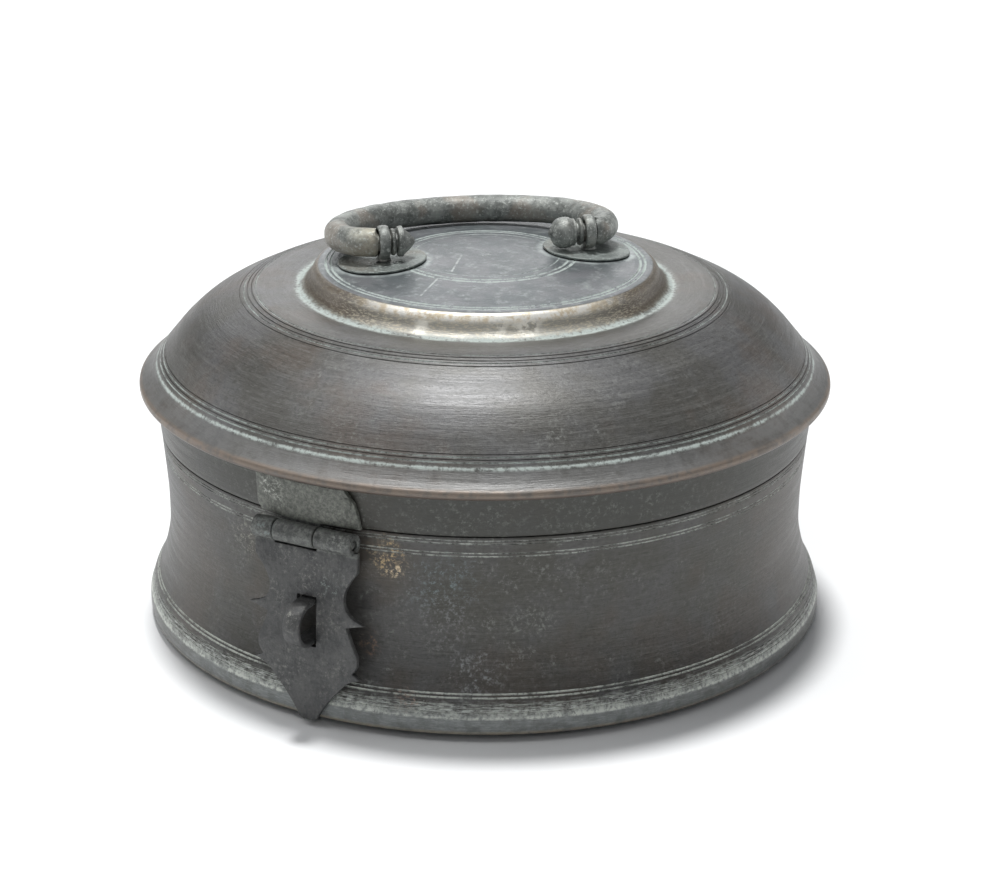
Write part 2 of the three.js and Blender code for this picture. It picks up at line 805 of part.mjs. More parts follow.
// The two holes of the handle in the lid.
function shankHoles() {
  return Manifold.union(eyeletPlaces.map(([, x]) => placed(shankHole(x), handleFrame)));
}

// The whole box, with the lid shut, the hasp down and the handle folded back

const box = new THREE.Group();
box.add(mesh('base_body', drilled(baseBody()).subtract(stapleSlots()), bodyBrass()));
box.add(mesh('lid', drilled(lidShell()).subtract(shankHoles()), lidBrass()));

const handle = new THREE.Group();
handle.applyMatrix4(handleFrame);
for (const [side, x] of eyeletPlaces) {
  handle.add(mesh(`handle_pad_${side}`, pad(x), castBronze()));
  handle.add(mesh(`handle_eyelet_${side}`, eyelet(x), castBronze()));
}
const bailMesh = mesh('handle_bail', bail(), castBronze());
bailMesh.position.setZ(axisHeight);
bailMesh.rotation.x = -bailDip;
handle.add(bailMesh);
box.add(handle);

box.add(mesh('hasp_lid_leaf', drilled(lidLeaf(leafLean, leafSwell)), haspBrass()));
const hasp = new THREE.Group();
hasp.position.set(...barrelPlace);
hasp.add(mesh('hasp_pin', pin(), pinBrass()));
const haspMesh = mesh('hasp_plate', haspPlate(), haspBrass());
haspMesh.rotation.x = -haspHang;
hasp.add(haspMesh);
box.add(hasp);
box.add(mesh('hasp_staple', staple(), haspBrass()));

const turned = (form) => form.rotate([0, 0, 180]);
box.add(mesh('hinge_lid_leaf', drilled(turned(lidLeaf(0, 0))), haspBrass()));
box.add(mesh('hinge_body_leaf', drilled(turned(bodyLeaf())), haspBrass()));
const hingePin = mesh('hinge_pin', pin(), pinBrass());
hingePin.position.set(0, barrelOut, barrelHeight);
box.add(hingePin);

for (const { name, wall, place } of rivets) {
  const rivetMesh = mesh(name, rivet(wall), pinBrass());
  rivetMesh.applyMatrix4(place);
  box.add(rivetMesh);
}

export default box;
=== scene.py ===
from math import asin, ceil, cos, hypot, pi, radians, sin

import bmesh
import bpy
import numpy as np
from mathutils import Matrix, Vector, noise
from mathutils.geometry import delaunay_2d_cdt

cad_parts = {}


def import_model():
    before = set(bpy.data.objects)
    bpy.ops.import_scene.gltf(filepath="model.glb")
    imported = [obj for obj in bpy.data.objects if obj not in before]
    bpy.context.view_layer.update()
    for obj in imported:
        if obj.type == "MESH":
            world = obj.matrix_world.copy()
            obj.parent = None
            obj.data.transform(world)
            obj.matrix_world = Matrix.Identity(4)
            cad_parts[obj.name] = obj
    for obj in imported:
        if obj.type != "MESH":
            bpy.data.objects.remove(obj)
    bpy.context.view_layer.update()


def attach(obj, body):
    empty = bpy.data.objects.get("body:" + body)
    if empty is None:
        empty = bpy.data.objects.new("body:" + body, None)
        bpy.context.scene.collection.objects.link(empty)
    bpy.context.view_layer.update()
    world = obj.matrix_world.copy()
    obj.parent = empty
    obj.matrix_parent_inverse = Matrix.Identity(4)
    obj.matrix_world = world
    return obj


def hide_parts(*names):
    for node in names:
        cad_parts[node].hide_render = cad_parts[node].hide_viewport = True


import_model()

# Lengths are in millimetres until they reach a mesh, a light or the camera
MM = 0.001
TURN = 2 * pi
NEAR = 1e-6

# Without a seed, Blender's vector noise would differ from run to run
noise.seed_set(1)

# Camera, fitted to the outlines of the box in the photograph
CAMERA_PLACE = (368.6, -677.6, 343.8)
CAMERA_AZIMUTH = 28.35
CAMERA_TILT = 69.18
CAMERA_ROLL = 0.262
CAMERA_LENS = 92.82
SENSOR = 36

# Turned shapes, and the groove of an engraved line: across in half widths, shares of depth and deposit
BOWL_SIDES = 288
LINE_HALF_WIDTH = 0.42
LINE_DEPTH = 0.3
LINE_SHAPE = ((-1.6, 0, 0), (-1, 0, 0.5), (-0.4, 0.9, 1), (0, 1, 1), (0.4, 0.9, 1), (1, 0, 0.5), (1.6, 0, 0))
LINE_ROOM = 1.8
FACETS = 8
WELD = 0.004

# Sizes that several pieces share with the model
SEAT_GAP = 0.32
SHEET = 1.8
SKIRT_SHEET = 2.7
LEAF_SHEET = 1.5
SKIRT_FOOT = 62.72
SKIRT_FOOT_RADIUS = 103.8
SKIRT_TOP = 75.32
SKIRT_TOP_RADIUS = 105
LID_BORE = 101.9
BARREL_OUT = 107.39
BARREL_HEIGHT = 59.15
BARREL_RADIUS = 3.35
BARREL_INSET = 0.09
BORE_RADIUS = 1.62
PIN_RADIUS = 1.3
PIN_INSET = 1.6
LEAF_HALF_WIDTH = 17.4
KNUCKLE_FROM = -10.2
KNUCKLE_TO = 3.48
DISC_RADIUS = 50.2
DISC_RIM = 113.62
DISC_CROWN = 2.7
HANDLE_TURN = 40.3
HANDLE_SET = 1.6
HANDLE_AXIS = 122.08
EYELET_SPREAD = 32.9
EYELET_WIDTH = 3.4
PAD_HOLE = 1.92
PAD_RADIUS = 14.2
PAD_BACK = 2.7
ROD_RADIUS = 4.44
BAIL_REACH = 43.44
BAIL_HALF_WIDTH = 42.8
BAIL_SHIFT = 2.2
BAIL_DIP = 3.72
BEND_REACH = 12.3
SHOULDER = 35.1
HASP_SHEET = 1.7
HASP_HANG = 3.49
HASP_LENGTH = 57.15
HASP_LEAN = 1.6
HASP_FACE = 109.8
SLOT_X = 0.725
SLOT_TOP = 18.1
SLOT_WIDTH = 6.4
SLOT_LENGTH = 15.6
STAPLE_WIDTH = 5.4
STAPLE_SHEET = 1.6
STAPLE_HEIGHT = 13.8
STAPLE_REACH = 9
STAPLE_INSET = 0.06
STAPLE_SEAT = 99.8
STAPLE_MIDDLE = 33.3
RIVET_SPREAD = 12
LID_RIVET = 70.71
BODY_RIVET = 44.65

# The handle's turned ends: distance from the middle and radius, at the left also how faceted
RIGHT_END = [
    (20, 0), (20.1, 1), (20.5, 1.3), (20.75, 1.45), (20.9, 2.3), (21.6, 3.5), (22.6, 4.35), (23.8, 4.85),
    (25.2, 4.95), (26.5, 4.85), (27.2, 4.4), (27.4, 4.1), (27.6, 4.3), (28.1, 4.3), (28.4, 3.8), (28.45, 2.9),
    (29.1, 2.9), (29.2, 3.7), (29.5, 4.3), (30.2, 4.3), (30.6, 3.9), (30.7, 2.6), (35, 2.6), (35.05, 3.6)]
LEFT_END = [
    (22.9, 0, 0), (23.1, 0.9, 0.4), (24.6, 2.6, 1), (26.6, 4.3, 1), (26.9, 4.75, 0), (27.6, 4.85, 0),
    (28.4, 4.75, 0), (28.6, 4.3, 0), (28.7, 2.7, 0), (29.2, 2.6, 0), (29.3, 3.9, 0), (29.6, 4.25, 0),
    (30.3, 4.25, 0), (30.6, 3.9, 0), (30.7, 2.6, 0), (35, 2.6, 0), (35.05, 3.6, 0)]

# The right edge of the hasp: distance down from the barrel's axis and from the plate's middle line
HASP_EDGE = [
    (2.2, 17.3), (8.2, 17.3), (11.2, 14.9), (14.5, 13.2), (17.4, 12.6), (20.6, 13.6), (22.6, 16.2),
    (23.7, 19.6), (25.6, 13.4), (30.3, 15.2), (33.8, 16.7), (36.9, 16.8), (39.4, 15.4), (40.8, 18),
    (42.6, 14), (45.7, 10.8), (49.9, 7.2), (54.4, 4), (56.4, 2.9), (57.1, 1.6)]


def smooth_line(points, per_span):
    """A curve through rows of numbers, each span cut in pieces."""
    p = [np.array(q, float) for q in points]
    p = [2 * p[0] - p[1]] + p + [2 * p[-1] - p[-2]]
    out = []
    for a, b, c, d in zip(p, p[1:], p[2:], p[3:]):
        for step in range(per_span):
            t = step / per_span
            out.append(0.5 * (2 * b + (c - a) * t + (2 * a - 5 * b + 4 * c - d) * t * t
                              + (3 * b - a - 3 * c + d) * t ** 3))
    return out + [p[-2]]


def lines_joined(*lines):
    """One line from several, without doubled points."""
    out = []
    for point in (p for line in lines for p in line):
        point = np.array(point, float)
        if not out or np.linalg.norm(point[:2] - out[-1][:2]) > NEAR:
            out.append(point)
    return np.array(out)


def side_line(line, distance):
    """A line moved to its left by a distance."""
    line = np.array(line, float)
    way = np.gradient(line[:, :2], axis=0)
    way /= np.linalg.norm(way, axis=1)[:, None]
    moved = line.copy()
    moved[:, 0] -= way[:, 1] * distance
    moved[:, 1] += way[:, 0] * distance
    return moved


def engraved(line, axis, cuts):
    """A profile with grooves cut to its left. A cut has its place along an axis, the shares of the usual
    width and depth, and the deposit that it holds."""
    for place, width, depth, deposit in cuts:
        along = np.r_[0, np.cumsum(np.linalg.norm(np.diff(line[:, :2], axis=0), axis=1))]
        value = line[:, axis]
        n = next(n for n in range(len(line) - 1)
                 if min(value[n], value[n + 1]) <= place < max(value[n], value[n + 1]))
        share = (place - value[n]) / (value[n + 1] - value[n])
        middle = along[n] + share * (along[n + 1] - along[n])
        half = LINE_HALF_WIDTH * width
        way = line[n + 1, :2] - line[n, :2]
        left = np.array([-way[1], way[0]]) / np.linalg.norm(way)
        cut = []
        for across, down, pale in LINE_SHAPE:
            at = middle + across * half
            spot = np.array([np.interp(at, along, line[:, c]) for c in range(line.shape[1])])
            spot[:2] += left * down * LINE_DEPTH * depth
            spot[2] = max(spot[2], pale * deposit)
            cut.append(spot)
        away = np.abs(along - middle) > half * LINE_ROOM
        line = np.vstack([line[away & (along < middle)], cut, line[away & (along > middle)]])
    return line


def linked(name, data):
    made = bpy.data.objects.new(name, data)
    bpy.context.scene.collection.objects.link(made)
    return made


def new_piece(name, points, faces, body, material, stands_for=(), sharp=40, marks=None):
    """A piece of the visual model from points in millimetres, with its marks per point."""
    data = bpy.data.meshes.new(name)
    data.from_pydata((np.array(points, float) * MM).tolist(), [], faces)
    for mark, values in (marks or {}).items():
        data.attributes.new(mark, "FLOAT", "POINT").data.foreach_set("value", values)
    welded = bmesh.new()
    welded.from_mesh(data)
    bmesh.ops.remove_doubles(welded, verts=welded.verts, dist=WELD * MM)
    welded.to_mesh(data)
    welded.free()
    data.shade_smooth()
    data.set_sharp_from_angle(angle=radians(sharp))
    piece = linked(name, data)
    data.materials.append(material)
    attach(piece, body)
    if stands_for:
        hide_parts(*stands_for)
    return piece


def skin(rows, closed_rows=False):
    """Faces between rows of equally many point numbers, each row a closed ring."""
    faces = []
    pairs = list(zip(rows, rows[1:]))
    if closed_rows:
        pairs.append((rows[-1], rows[0]))
    for low, high in pairs:
        for n in range(len(low)):
            m = (n + 1) % len(low)
            corners = list(dict.fromkeys((low[n], low[m], high[m], high[n])))
            if len(corners) > 2:
                faces.append(corners)
    return faces


def turned(profile, sides):
    """Points, faces and deposits of a body of revolution about Z, from rows of radius, height and deposit."""
    points, rows, deposits = [], [], []
    closed = np.linalg.norm(profile[0][:2] - profile[-1][:2]) < NEAR
    for radius, height, deposit in (profile[:-1] if closed else profile):
        count = sides if radius > NEAR else 1
        rows.append([len(points) + n % count for n in range(sides)])
        points += [(radius * sin(TURN * n / sides), -radius * cos(TURN * n / sides), height)
                   for n in range(count)]
        deposits += [deposit] * count
    return points, skin(rows, closed), deposits


def rod(stations, sides, up=(0, 0, 1)):
    """Points and faces of a rod from rows of middle, direction, radius and how far it is cut to facets."""
    half_facet = TURN / FACETS / 2
    points, rows = [], []
    for middle, way, radius, *facets in stations:
        middle, way = Vector(middle), Vector(way).normalized()
        across = way.cross(Vector(up)).normalized()
        over = across.cross(way)
        count = sides if radius > NEAR else 1
        rows.append([len(points) + n % count for n in range(sides)])
        for n in range(count):
            turn = TURN * n / sides
            away = (turn + half_facet) % (2 * half_facet) - half_facet
            cut = 1 + (facets[0] if facets else 0) * (cos(half_facet) / cos(away) - 1)
            points.append(middle + radius * cut * (cos(turn) * across + sin(turn) * over))
    return points, skin(rows)


def uneven(points, size, reach, seed):
    """Points moved by smooth noise, as a hand leaves them."""
    shift = Vector((seed * 37.1, seed * 11.7, seed * 5.3))
    return [Vector(p) + reach * noise.noise_vector(Vector(p) / size + shift) for p in points]


HANDLE_FRAME = Matrix.Rotation(radians(HANDLE_TURN), 4, "Z") @ Matrix.Translation((0, -HANDLE_SET, 0))


# Materials

class Paint:
    """A material's node tree, with short calls for the nodes that it uses."""

    def __init__(self, name):
        self.material = bpy.data.materials.new(name)
        self.material.use_nodes = True
        self.tree = self.material.node_tree
        self.tree.nodes.clear()
        out = self.node("OutputMaterial")
        self.shader = self.node("BsdfPrincipled")
        self.tree.links.new(self.shader.outputs[0], out.inputs[0])
        place = self.node("TexCoord").outputs["Object"]
        self.place = self.vector("SCALE", place, scale=1 / MM)

    def node(self, kind):
        return self.tree.nodes.new("ShaderNode" + kind)

    def put(self, socket, value):
        if isinstance(value, bpy.types.NodeSocket):
            self.tree.links.new(value, socket)
        else:
            socket.default_value = value

    def math(self, operation, a, b=0, clamp=False):
        node = self.node("Math")
        node.operation, node.use_clamp = operation, clamp
        self.put(node.inputs[0], a)
        self.put(node.inputs[1], b)
        return node.outputs[0]

    def times(self, first, *others):
        """The product of several values."""
        for other in others:
            first = self.math("MULTIPLY", first, other)
        return first

    def vector(self, operation, a, b=(0, 0, 0), scale=1):
        node = self.node("VectorMath")
        node.operation = operation
        self.put(node.inputs[0], a)
        if operation == "SCALE":
            self.put(node.inputs["Scale"], scale)
        elif operation in ("ADD", "DOT_PRODUCT"):
            self.put(node.inputs[1], b)
        return node.outputs["Value" if operation in ("LENGTH", "DOT_PRODUCT") else "Vector"]

    def split(self, vector):
        node = self.node("SeparateXYZ")
        self.put(node.inputs[0], vector)
        return node.outputs

    def joined(self, x, y, z):
        node = self.node("CombineXYZ")
        for socket, value in zip(node.inputs, (x, y, z)):
            self.put(socket, value)
        return node.outputs[0]

    def noise(self, vector, kind, w=None):
        """Noise of a kind: cells per millimetre, detail and roughness."""
        node = self.node("TexNoise")
        node.noise_dimensions = "3D" if w is None else "4D"
        self.put(node.inputs["Vector"], vector)
        if w is not None:
            self.put(node.inputs["W"], w)
        for name, value in zip(("Scale", "Detail", "Roughness"), kind):
            self.put(node.inputs[name], value)
        return node.outputs["Fac"]

    def ramp(self, value, low, high, to_low=0, to_high=1):
        """A smooth fade from one result, where the value is low, to the other, where it is high."""
        node = self.node("MapRange")
        node.interpolation_type = "SMOOTHSTEP"
        for n, number in enumerate((value, low, high, to_low, to_high)):
            self.put(node.inputs[n], number)
        return node.outputs[0]

    def mix(self, share, a, b):
        node = self.node("Mix")
        node.data_type = "RGBA"
        self.put(node.inputs["Factor"], share)
        for name, value in (("A", a), ("B", b)):
            socket = next(s for s in node.inputs if s.name == name and s.type == "RGBA")
            self.put(socket, (*value, 1) if isinstance(value, tuple) else value)
        return next(s for s in node.outputs if s.type == "RGBA")

    def mark(self, name):
        node = self.node("Attribute")
        node.attribute_name = name
        return node.outputs["Fac"]

    def bump(self, height, reach, before=None):
        node = self.node("Bump")
        node.inputs["Distance"].default_value = reach * MM
        self.put(node.inputs["Height"], height)
        if before is not None:
            self.put(node.inputs["Normal"], before)
        return node.outputs[0]

    def coat(self, share, tone):
        """A share of a tone over the colour so far."""
        self.colour = self.mix(share, self.colour, tone)

    def finish(self, metallic, roughness, normal):
        for name, value in (("Base Color", self.colour), ("Metallic", metallic), ("Roughness", roughness),
                            ("Normal", normal)):
            self.put(self.shader.inputs[name], value)
        return self.material


# Kinds of noise: cells per millimetre, detail and roughness
CLOUDS = (0.028, 5, 0.65)
BROWN_CLOUDS = (0.02, 4, 0.6)
TURNED_RINGS = (0.9, 4, 0.7)
FINE_RINGS = (1, 3, 0.7)
GRAIN = (0.25, 5, 0.7)
SPECKS = (0.75, 6, 0.8)
PATCHES = (0.05, 5, 0.7)
RAGGED = (0.1, 5, 0.75)
SPOT_EDGE = (0.16, 4, 0.6)
DISC_CLOUDS = (0.06, 5, 0.65)
CAST_MOTTLE = (0.16, 6, 0.7)
CAST_PITS = (1.1, 4, 0.7)
CAST_WARMTH = (0.07, 3, 0.55)
SHEET_STROKES = (1, 4, 0.7)
SHEET_MOTTLE = (0.13, 5, 0.65)
SHEET_SPECKS = (0.8, 6, 0.8)
SHEET_PATCHES = (0.09, 4, 0.65)
FLOOR_CLOUDS = (0.02, 2, 0.55)


def spot(p, middle, size, speckle):
    """A ragged, speckled patch round a place."""
    wander = p.times(p.math("SUBTRACT", p.noise(p.place, SPOT_EDGE), 0.5), 2.2 * size)
    away = p.math("ADD", p.vector("LENGTH", p.vector("ADD", p.place, tuple(-c for c in middle))), wander)
    return p.math("MULTIPLY", p.ramp(away, size, 0.2 * size), speckle, clamp=True)


# Turned brass, linear colours
DUST = (0.25, 0.26, 0.24)
DEPOSIT = (0.53, 0.565, 0.54)
FRONT_WAY = (0.36, -0.93, 0)
RINGS_ROUND, FINE_ROUND = 5, 40
FINE_STRETCH = 2.6
BROWN_SHIFT = (70, 20, 9)
PATINA_METALLIC = 0.3


def turned_brass(name, tones, streak, streaks):
    """Dark patina on brass that was spun and scraped: rings, dusty patches, pale deposits in the lines."""
    p = Paint(name)
    x, y, z = p.split(p.place)
    flat = p.joined(x, y, 0)
    p.radius = p.vector("LENGTH", flat)
    p.round_way = p.vector("NORMALIZE", flat)
    ring_place = p.vector("ADD", p.vector("SCALE", p.round_way, scale=RINGS_ROUND), p.joined(0, 0, p.radius))
    rings = p.noise(ring_place, TURNED_RINGS, w=z)
    fine_place = p.vector("ADD", p.vector("SCALE", p.round_way, scale=FINE_ROUND),
                          p.joined(0, 0, p.times(p.radius, FINE_STRETCH)))
    fine = p.noise(fine_place, FINE_RINGS, w=p.times(z, FINE_STRETCH))
    p.grain = p.noise(p.place, GRAIN)
    specks = p.noise(p.place, SPECKS)
    p.speckle = p.ramp(specks, 0.51, 0.62)
    p.streaks = p.ramp(fine, 0.47, 0.62)
    dark, light, warm = tones
    p.colour = p.mix(p.ramp(p.noise(p.place, CLOUDS), 0.4, 0.6), dark, light)
    p.coat(p.ramp(p.noise(p.vector("ADD", p.place, BROWN_SHIFT), BROWN_CLOUDS), 0.5, 0.62, 0, 0.6), warm)
    p.coat(p.ramp(rings, 0.45, 0.72, 0, streaks), streak)
    p.coat(p.ramp(fine, 0.52, 0.7, 0, streaks), streak)
    p.coat(p.ramp(fine, 0.46, 0.3, 0, 0.6), tuple(0.5 * c for c in dark))
    p.coat(p.ramp(specks, 0.5, 0.36, 0, 0.45), tuple(0.55 * c for c in dark))
    p.front = p.vector("DOT_PRODUCT", p.round_way, FRONT_WAY)
    patches = p.ramp(p.noise(p.place, PATCHES), 0.42, 0.6, 0.1, 1)
    dust = p.times(patches, p.ramp(p.front, 0.7, 1, 0.45, 1), p.ramp(p.grain, 0.42, 0.6), p.speckle)
    p.coat(p.times(dust, 0.7), DUST)
    ragged = p.ramp(p.noise(p.place, RAGGED), 0.34, 0.62, 0.25, 1.7)
    p.deposit = p.math("MULTIPLY", p.times(p.mark("deposit"), ragged), p.ramp(specks, 0.38, 0.58, 0.15, 1.3),
                       clamp=True)
    p.coat(p.deposit, DEPOSIT)
    cover = p.math("MAXIMUM", p.deposit, p.times(dust, 0.8))
    p.metallic = p.math("SUBTRACT", PATINA_METALLIC, p.times(cover, PATINA_METALLIC), clamp=True)
    p.rough = p.math("ADD", p.ramp(rings, 0.3, 0.7, 0.34, 0.46), p.times(cover, 0.35))
    p.normal = p.bump(fine, 0.06)
    p.normal = p.bump(rings, 0.12, p.normal)
    p.normal = p.bump(specks, 0.06, p.normal)
    return p


# The body's colours, its fades by radius or height, and its spots: middle, size and colour
BODY_TONES = ((0.065, 0.063, 0.054), (0.083, 0.082, 0.08), (0.08, 0.065, 0.052))
BODY_STREAK = (0.14, 0.14, 0.13)
LIP_GREY = (0.215, 0.23, 0.228)
LIP_BROWN = (0.3, 0.26, 0.2)
LIP_DUST_AND_SHEEN = (0.58, 0.61, 0.58)
BODY_DEPOSIT = (0.64, 0.665, 0.61)
LIP_REACH = (108, 108.9)
LIP_TOP = (10, 7)
LIP_FOOT = (3.9, 3.2)
DUST_SHEEN_REACH = (105, 107)
DUST_SHEEN_TOP = (13, 10.5)
DUST_SHEEN_FOOT = (8, 9.8)
BODY_SPOTS = (
    ((23, -100.1, 54), 7, (0.5, 0.37, 0.2)), ((25.5, -99.5, 50), 4, (0.62, 0.5, 0.34)),
    ((38.4, -94.9, 47), 14, (0.16, 0.2, 0.205)), ((30.5, -103.1, 12), 5, (0.34, 0.25, 0.2)),
    ((17, -101.3, 26), 5, (0.24, 0.16, 0.12)), ((46, -91, 20), 11, (0.25, 0.26, 0.26)),
    ((60, -83, 36), 10, (0.18, 0.19, 0.17)), ((40, -94, 34), 12, (0.17, 0.17, 0.17)),
    ((-18.8, -101.4, 56.5), 6, (0.4, 0.4, 0.33)), ((-26.5, -98.5, 50), 8, (0.24, 0.24, 0.2)))


def body_brass():
    """The body's patina, with a grey lip painted lighter at its front, scraped dust with a painted sheen
    above it and stains on the wall.
    """
    p = turned_brass("body_patina", BODY_TONES, BODY_STREAK, streaks=0.35)
    z = p.split(p.place)[2]
    # Painted light: the lip's grey and brown patina fade out towards the sides, so the lip's front is painted
    # lighter than its sides
    lip_lit_front = p.times(p.ramp(p.radius, *LIP_REACH), p.ramp(z, *LIP_TOP), p.ramp(p.front, 0.3, 0.95, 0.25, 1))
    p.coat(p.times(lip_lit_front, p.ramp(p.grain, 0.35, 0.6, 0.6, 1)), LIP_GREY)
    p.coat(p.times(lip_lit_front, p.ramp(z, *LIP_FOOT), p.ramp(p.grain, 0.35, 0.55, 0.3, 0.9)), LIP_BROWN)
    # Streaked pale dust above the lip, which is also a painted sheen: a broad pale band, lighter towards the
    # front
    dust = p.times(p.math("MAXIMUM", p.streaks, p.times(p.speckle, 0.5)), p.ramp(z, *DUST_SHEEN_TOP),
                   p.ramp(p.radius, *DUST_SHEEN_REACH), p.ramp(z, *DUST_SHEEN_FOOT, 0.2, 1),
                   p.ramp(p.front, 0.3, 0.95, 0.5, 1), p.ramp(p.grain, 0.36, 0.54, 0.45, 1))
    p.coat(dust, LIP_DUST_AND_SHEEN)
    p.coat(p.deposit, BODY_DEPOSIT)
    for middle, size, tone in BODY_SPOTS:
        p.coat(spot(p, middle, size, p.speckle), tone)
    return p.finish(p.metallic, p.rough, p.normal)


def scratch(p, start, end, width):
    """A straight, broken scratch, seen from above."""
    way = Vector(end) - Vector(start)
    ahead = way.normalized()
    place = p.vector("ADD", p.place, (-start[0], -start[1], 0))
    along = p.vector("DOT_PRODUCT", place, (ahead.x, ahead.y, 0))
    across = p.vector("DOT_PRODUCT", place, (-ahead.y, ahead.x, 0))
    return p.times(p.ramp(p.math("ABSOLUTE", across), width, 0.3 * width), p.ramp(along, 0, 1),
                   p.ramp(along, way.length, way.length - 1), p.ramp(p.grain, 0.4, 0.55, 0.15, 0.9))


# The lid's colours
LID_TONES = ((0.094, 0.091, 0.082), (0.124, 0.124, 0.125), (0.112, 0.086, 0.067))
LID_STREAK = (0.2, 0.2, 0.19)
LID_DEPOSIT = (0.47, 0.53, 0.5)
SKIRT_DARK = (0.025, 0.026, 0.02)
SKIRT_DUST = (0.12, 0.13, 0.112)
SLOPE_SHEEN_GREY = (0.2, 0.2, 0.195)
BRIM_BROWN = (0.23, 0.18, 0.14)
BRIM_UNDERSIDE = (0.1, 0.075, 0.06)
DISC_DARK, DISC_LIGHT = (0.125, 0.145, 0.153), (0.19, 0.2, 0.213)
DISC_PALE = (0.33, 0.36, 0.36)
DISC_FLECKS = (0.42, 0.46, 0.46)
DISC_SCRATCH = (0.5, 0.54, 0.53)
DISC_CENTRE = (0.55, 0.57, 0.55)
DISC_DEPOSIT = (0.52, 0.58, 0.57)
PAD_RIM = (0.46, 0.51, 0.5)
# The ring's pale front, its streaks and bare spots and the shoulder's pale and gold are painted sheen and
# highlight over bare worn brass
RING_BROWN, RING_FRONT_SHEEN = (0.1, 0.078, 0.054), (0.42, 0.405, 0.36)
RING_HIGHLIGHT_STREAK = (0.66, 0.6, 0.46)
RING_BARE_GLINT = (0.95, 0.92, 0.82)
SHOULDER_PALE_HIGHLIGHT, SHOULDER_GOLD_HIGHLIGHT = (0.98, 0.96, 0.9), (0.7, 0.6, 0.44)

# The lid's fades by radius or height, and its marks
SKIRT_TO = (76.5, 75)
SLOPE_REACH, SLOPE_FOOT, SLOPE_TO = (104.4, 105.2), (77.8, 78.8), (84, 83.2)
BRIM_REACH, BRIM_TO = (108.2, 109.4), (79.6, 78.6)
UNDERSIDE_REACH, UNDERSIDE_TO = (108, 109), (77.4, 76.6)
DISC_TO = (53.2, 52.4)
RING_FROM, RING_TO = (52.6, 53.2), (58.6, 57.6)
SHOULDER_FROM, SHOULDER_TO = (52.9, 53.4), (55.3, 54.5)
PAD_RIM_FROM, PAD_RIM_TO = (13.5, 14.3), (16.6, 14.8)
PAD_RIM_RISE = 1.2
RING_FRONT_WAY = (0.5, -0.866, 0)
SCRATCHES = (((1.5, -44), (-1, -28.5)), ((0, -22), (-5.5, -5.5)))
SCRATCH_WIDTH = 0.45
CENTRE_SPOT = (0.5, -1.5, 116.3)
RING_BARE_GLINT_SPOTS = (((36.3, -41.7, 110.3), 7), ((30.5, -46.1, 109.8), 5), ((8.7, -55.2, 108.8), 5))
LID_SPECULAR = 0.7


def bluish_disc(p):
    """The colour of the disc in the middle of the lid."""
    disc = p.mix(p.ramp(p.noise(p.place, DISC_CLOUDS), 0.4, 0.62), DISC_DARK, DISC_LIGHT)
    disc = p.mix(p.ramp(p.grain, 0.5, 0.68, 0, 0.55), disc, DISC_PALE)
    disc = p.mix(p.times(p.speckle, p.ramp(p.grain, 0.5, 0.6, 0, 0.5)), disc, DISC_FLECKS)
    for start, end in SCRATCHES:
        disc = p.mix(scratch(p, start, end, SCRATCH_WIDTH), disc, DISC_SCRATCH)
    disc = p.mix(spot(p, CENTRE_SPOT, 3, p.speckle), disc, DISC_CENTRE)
    return p.mix(p.deposit, disc, DISC_DEPOSIT)


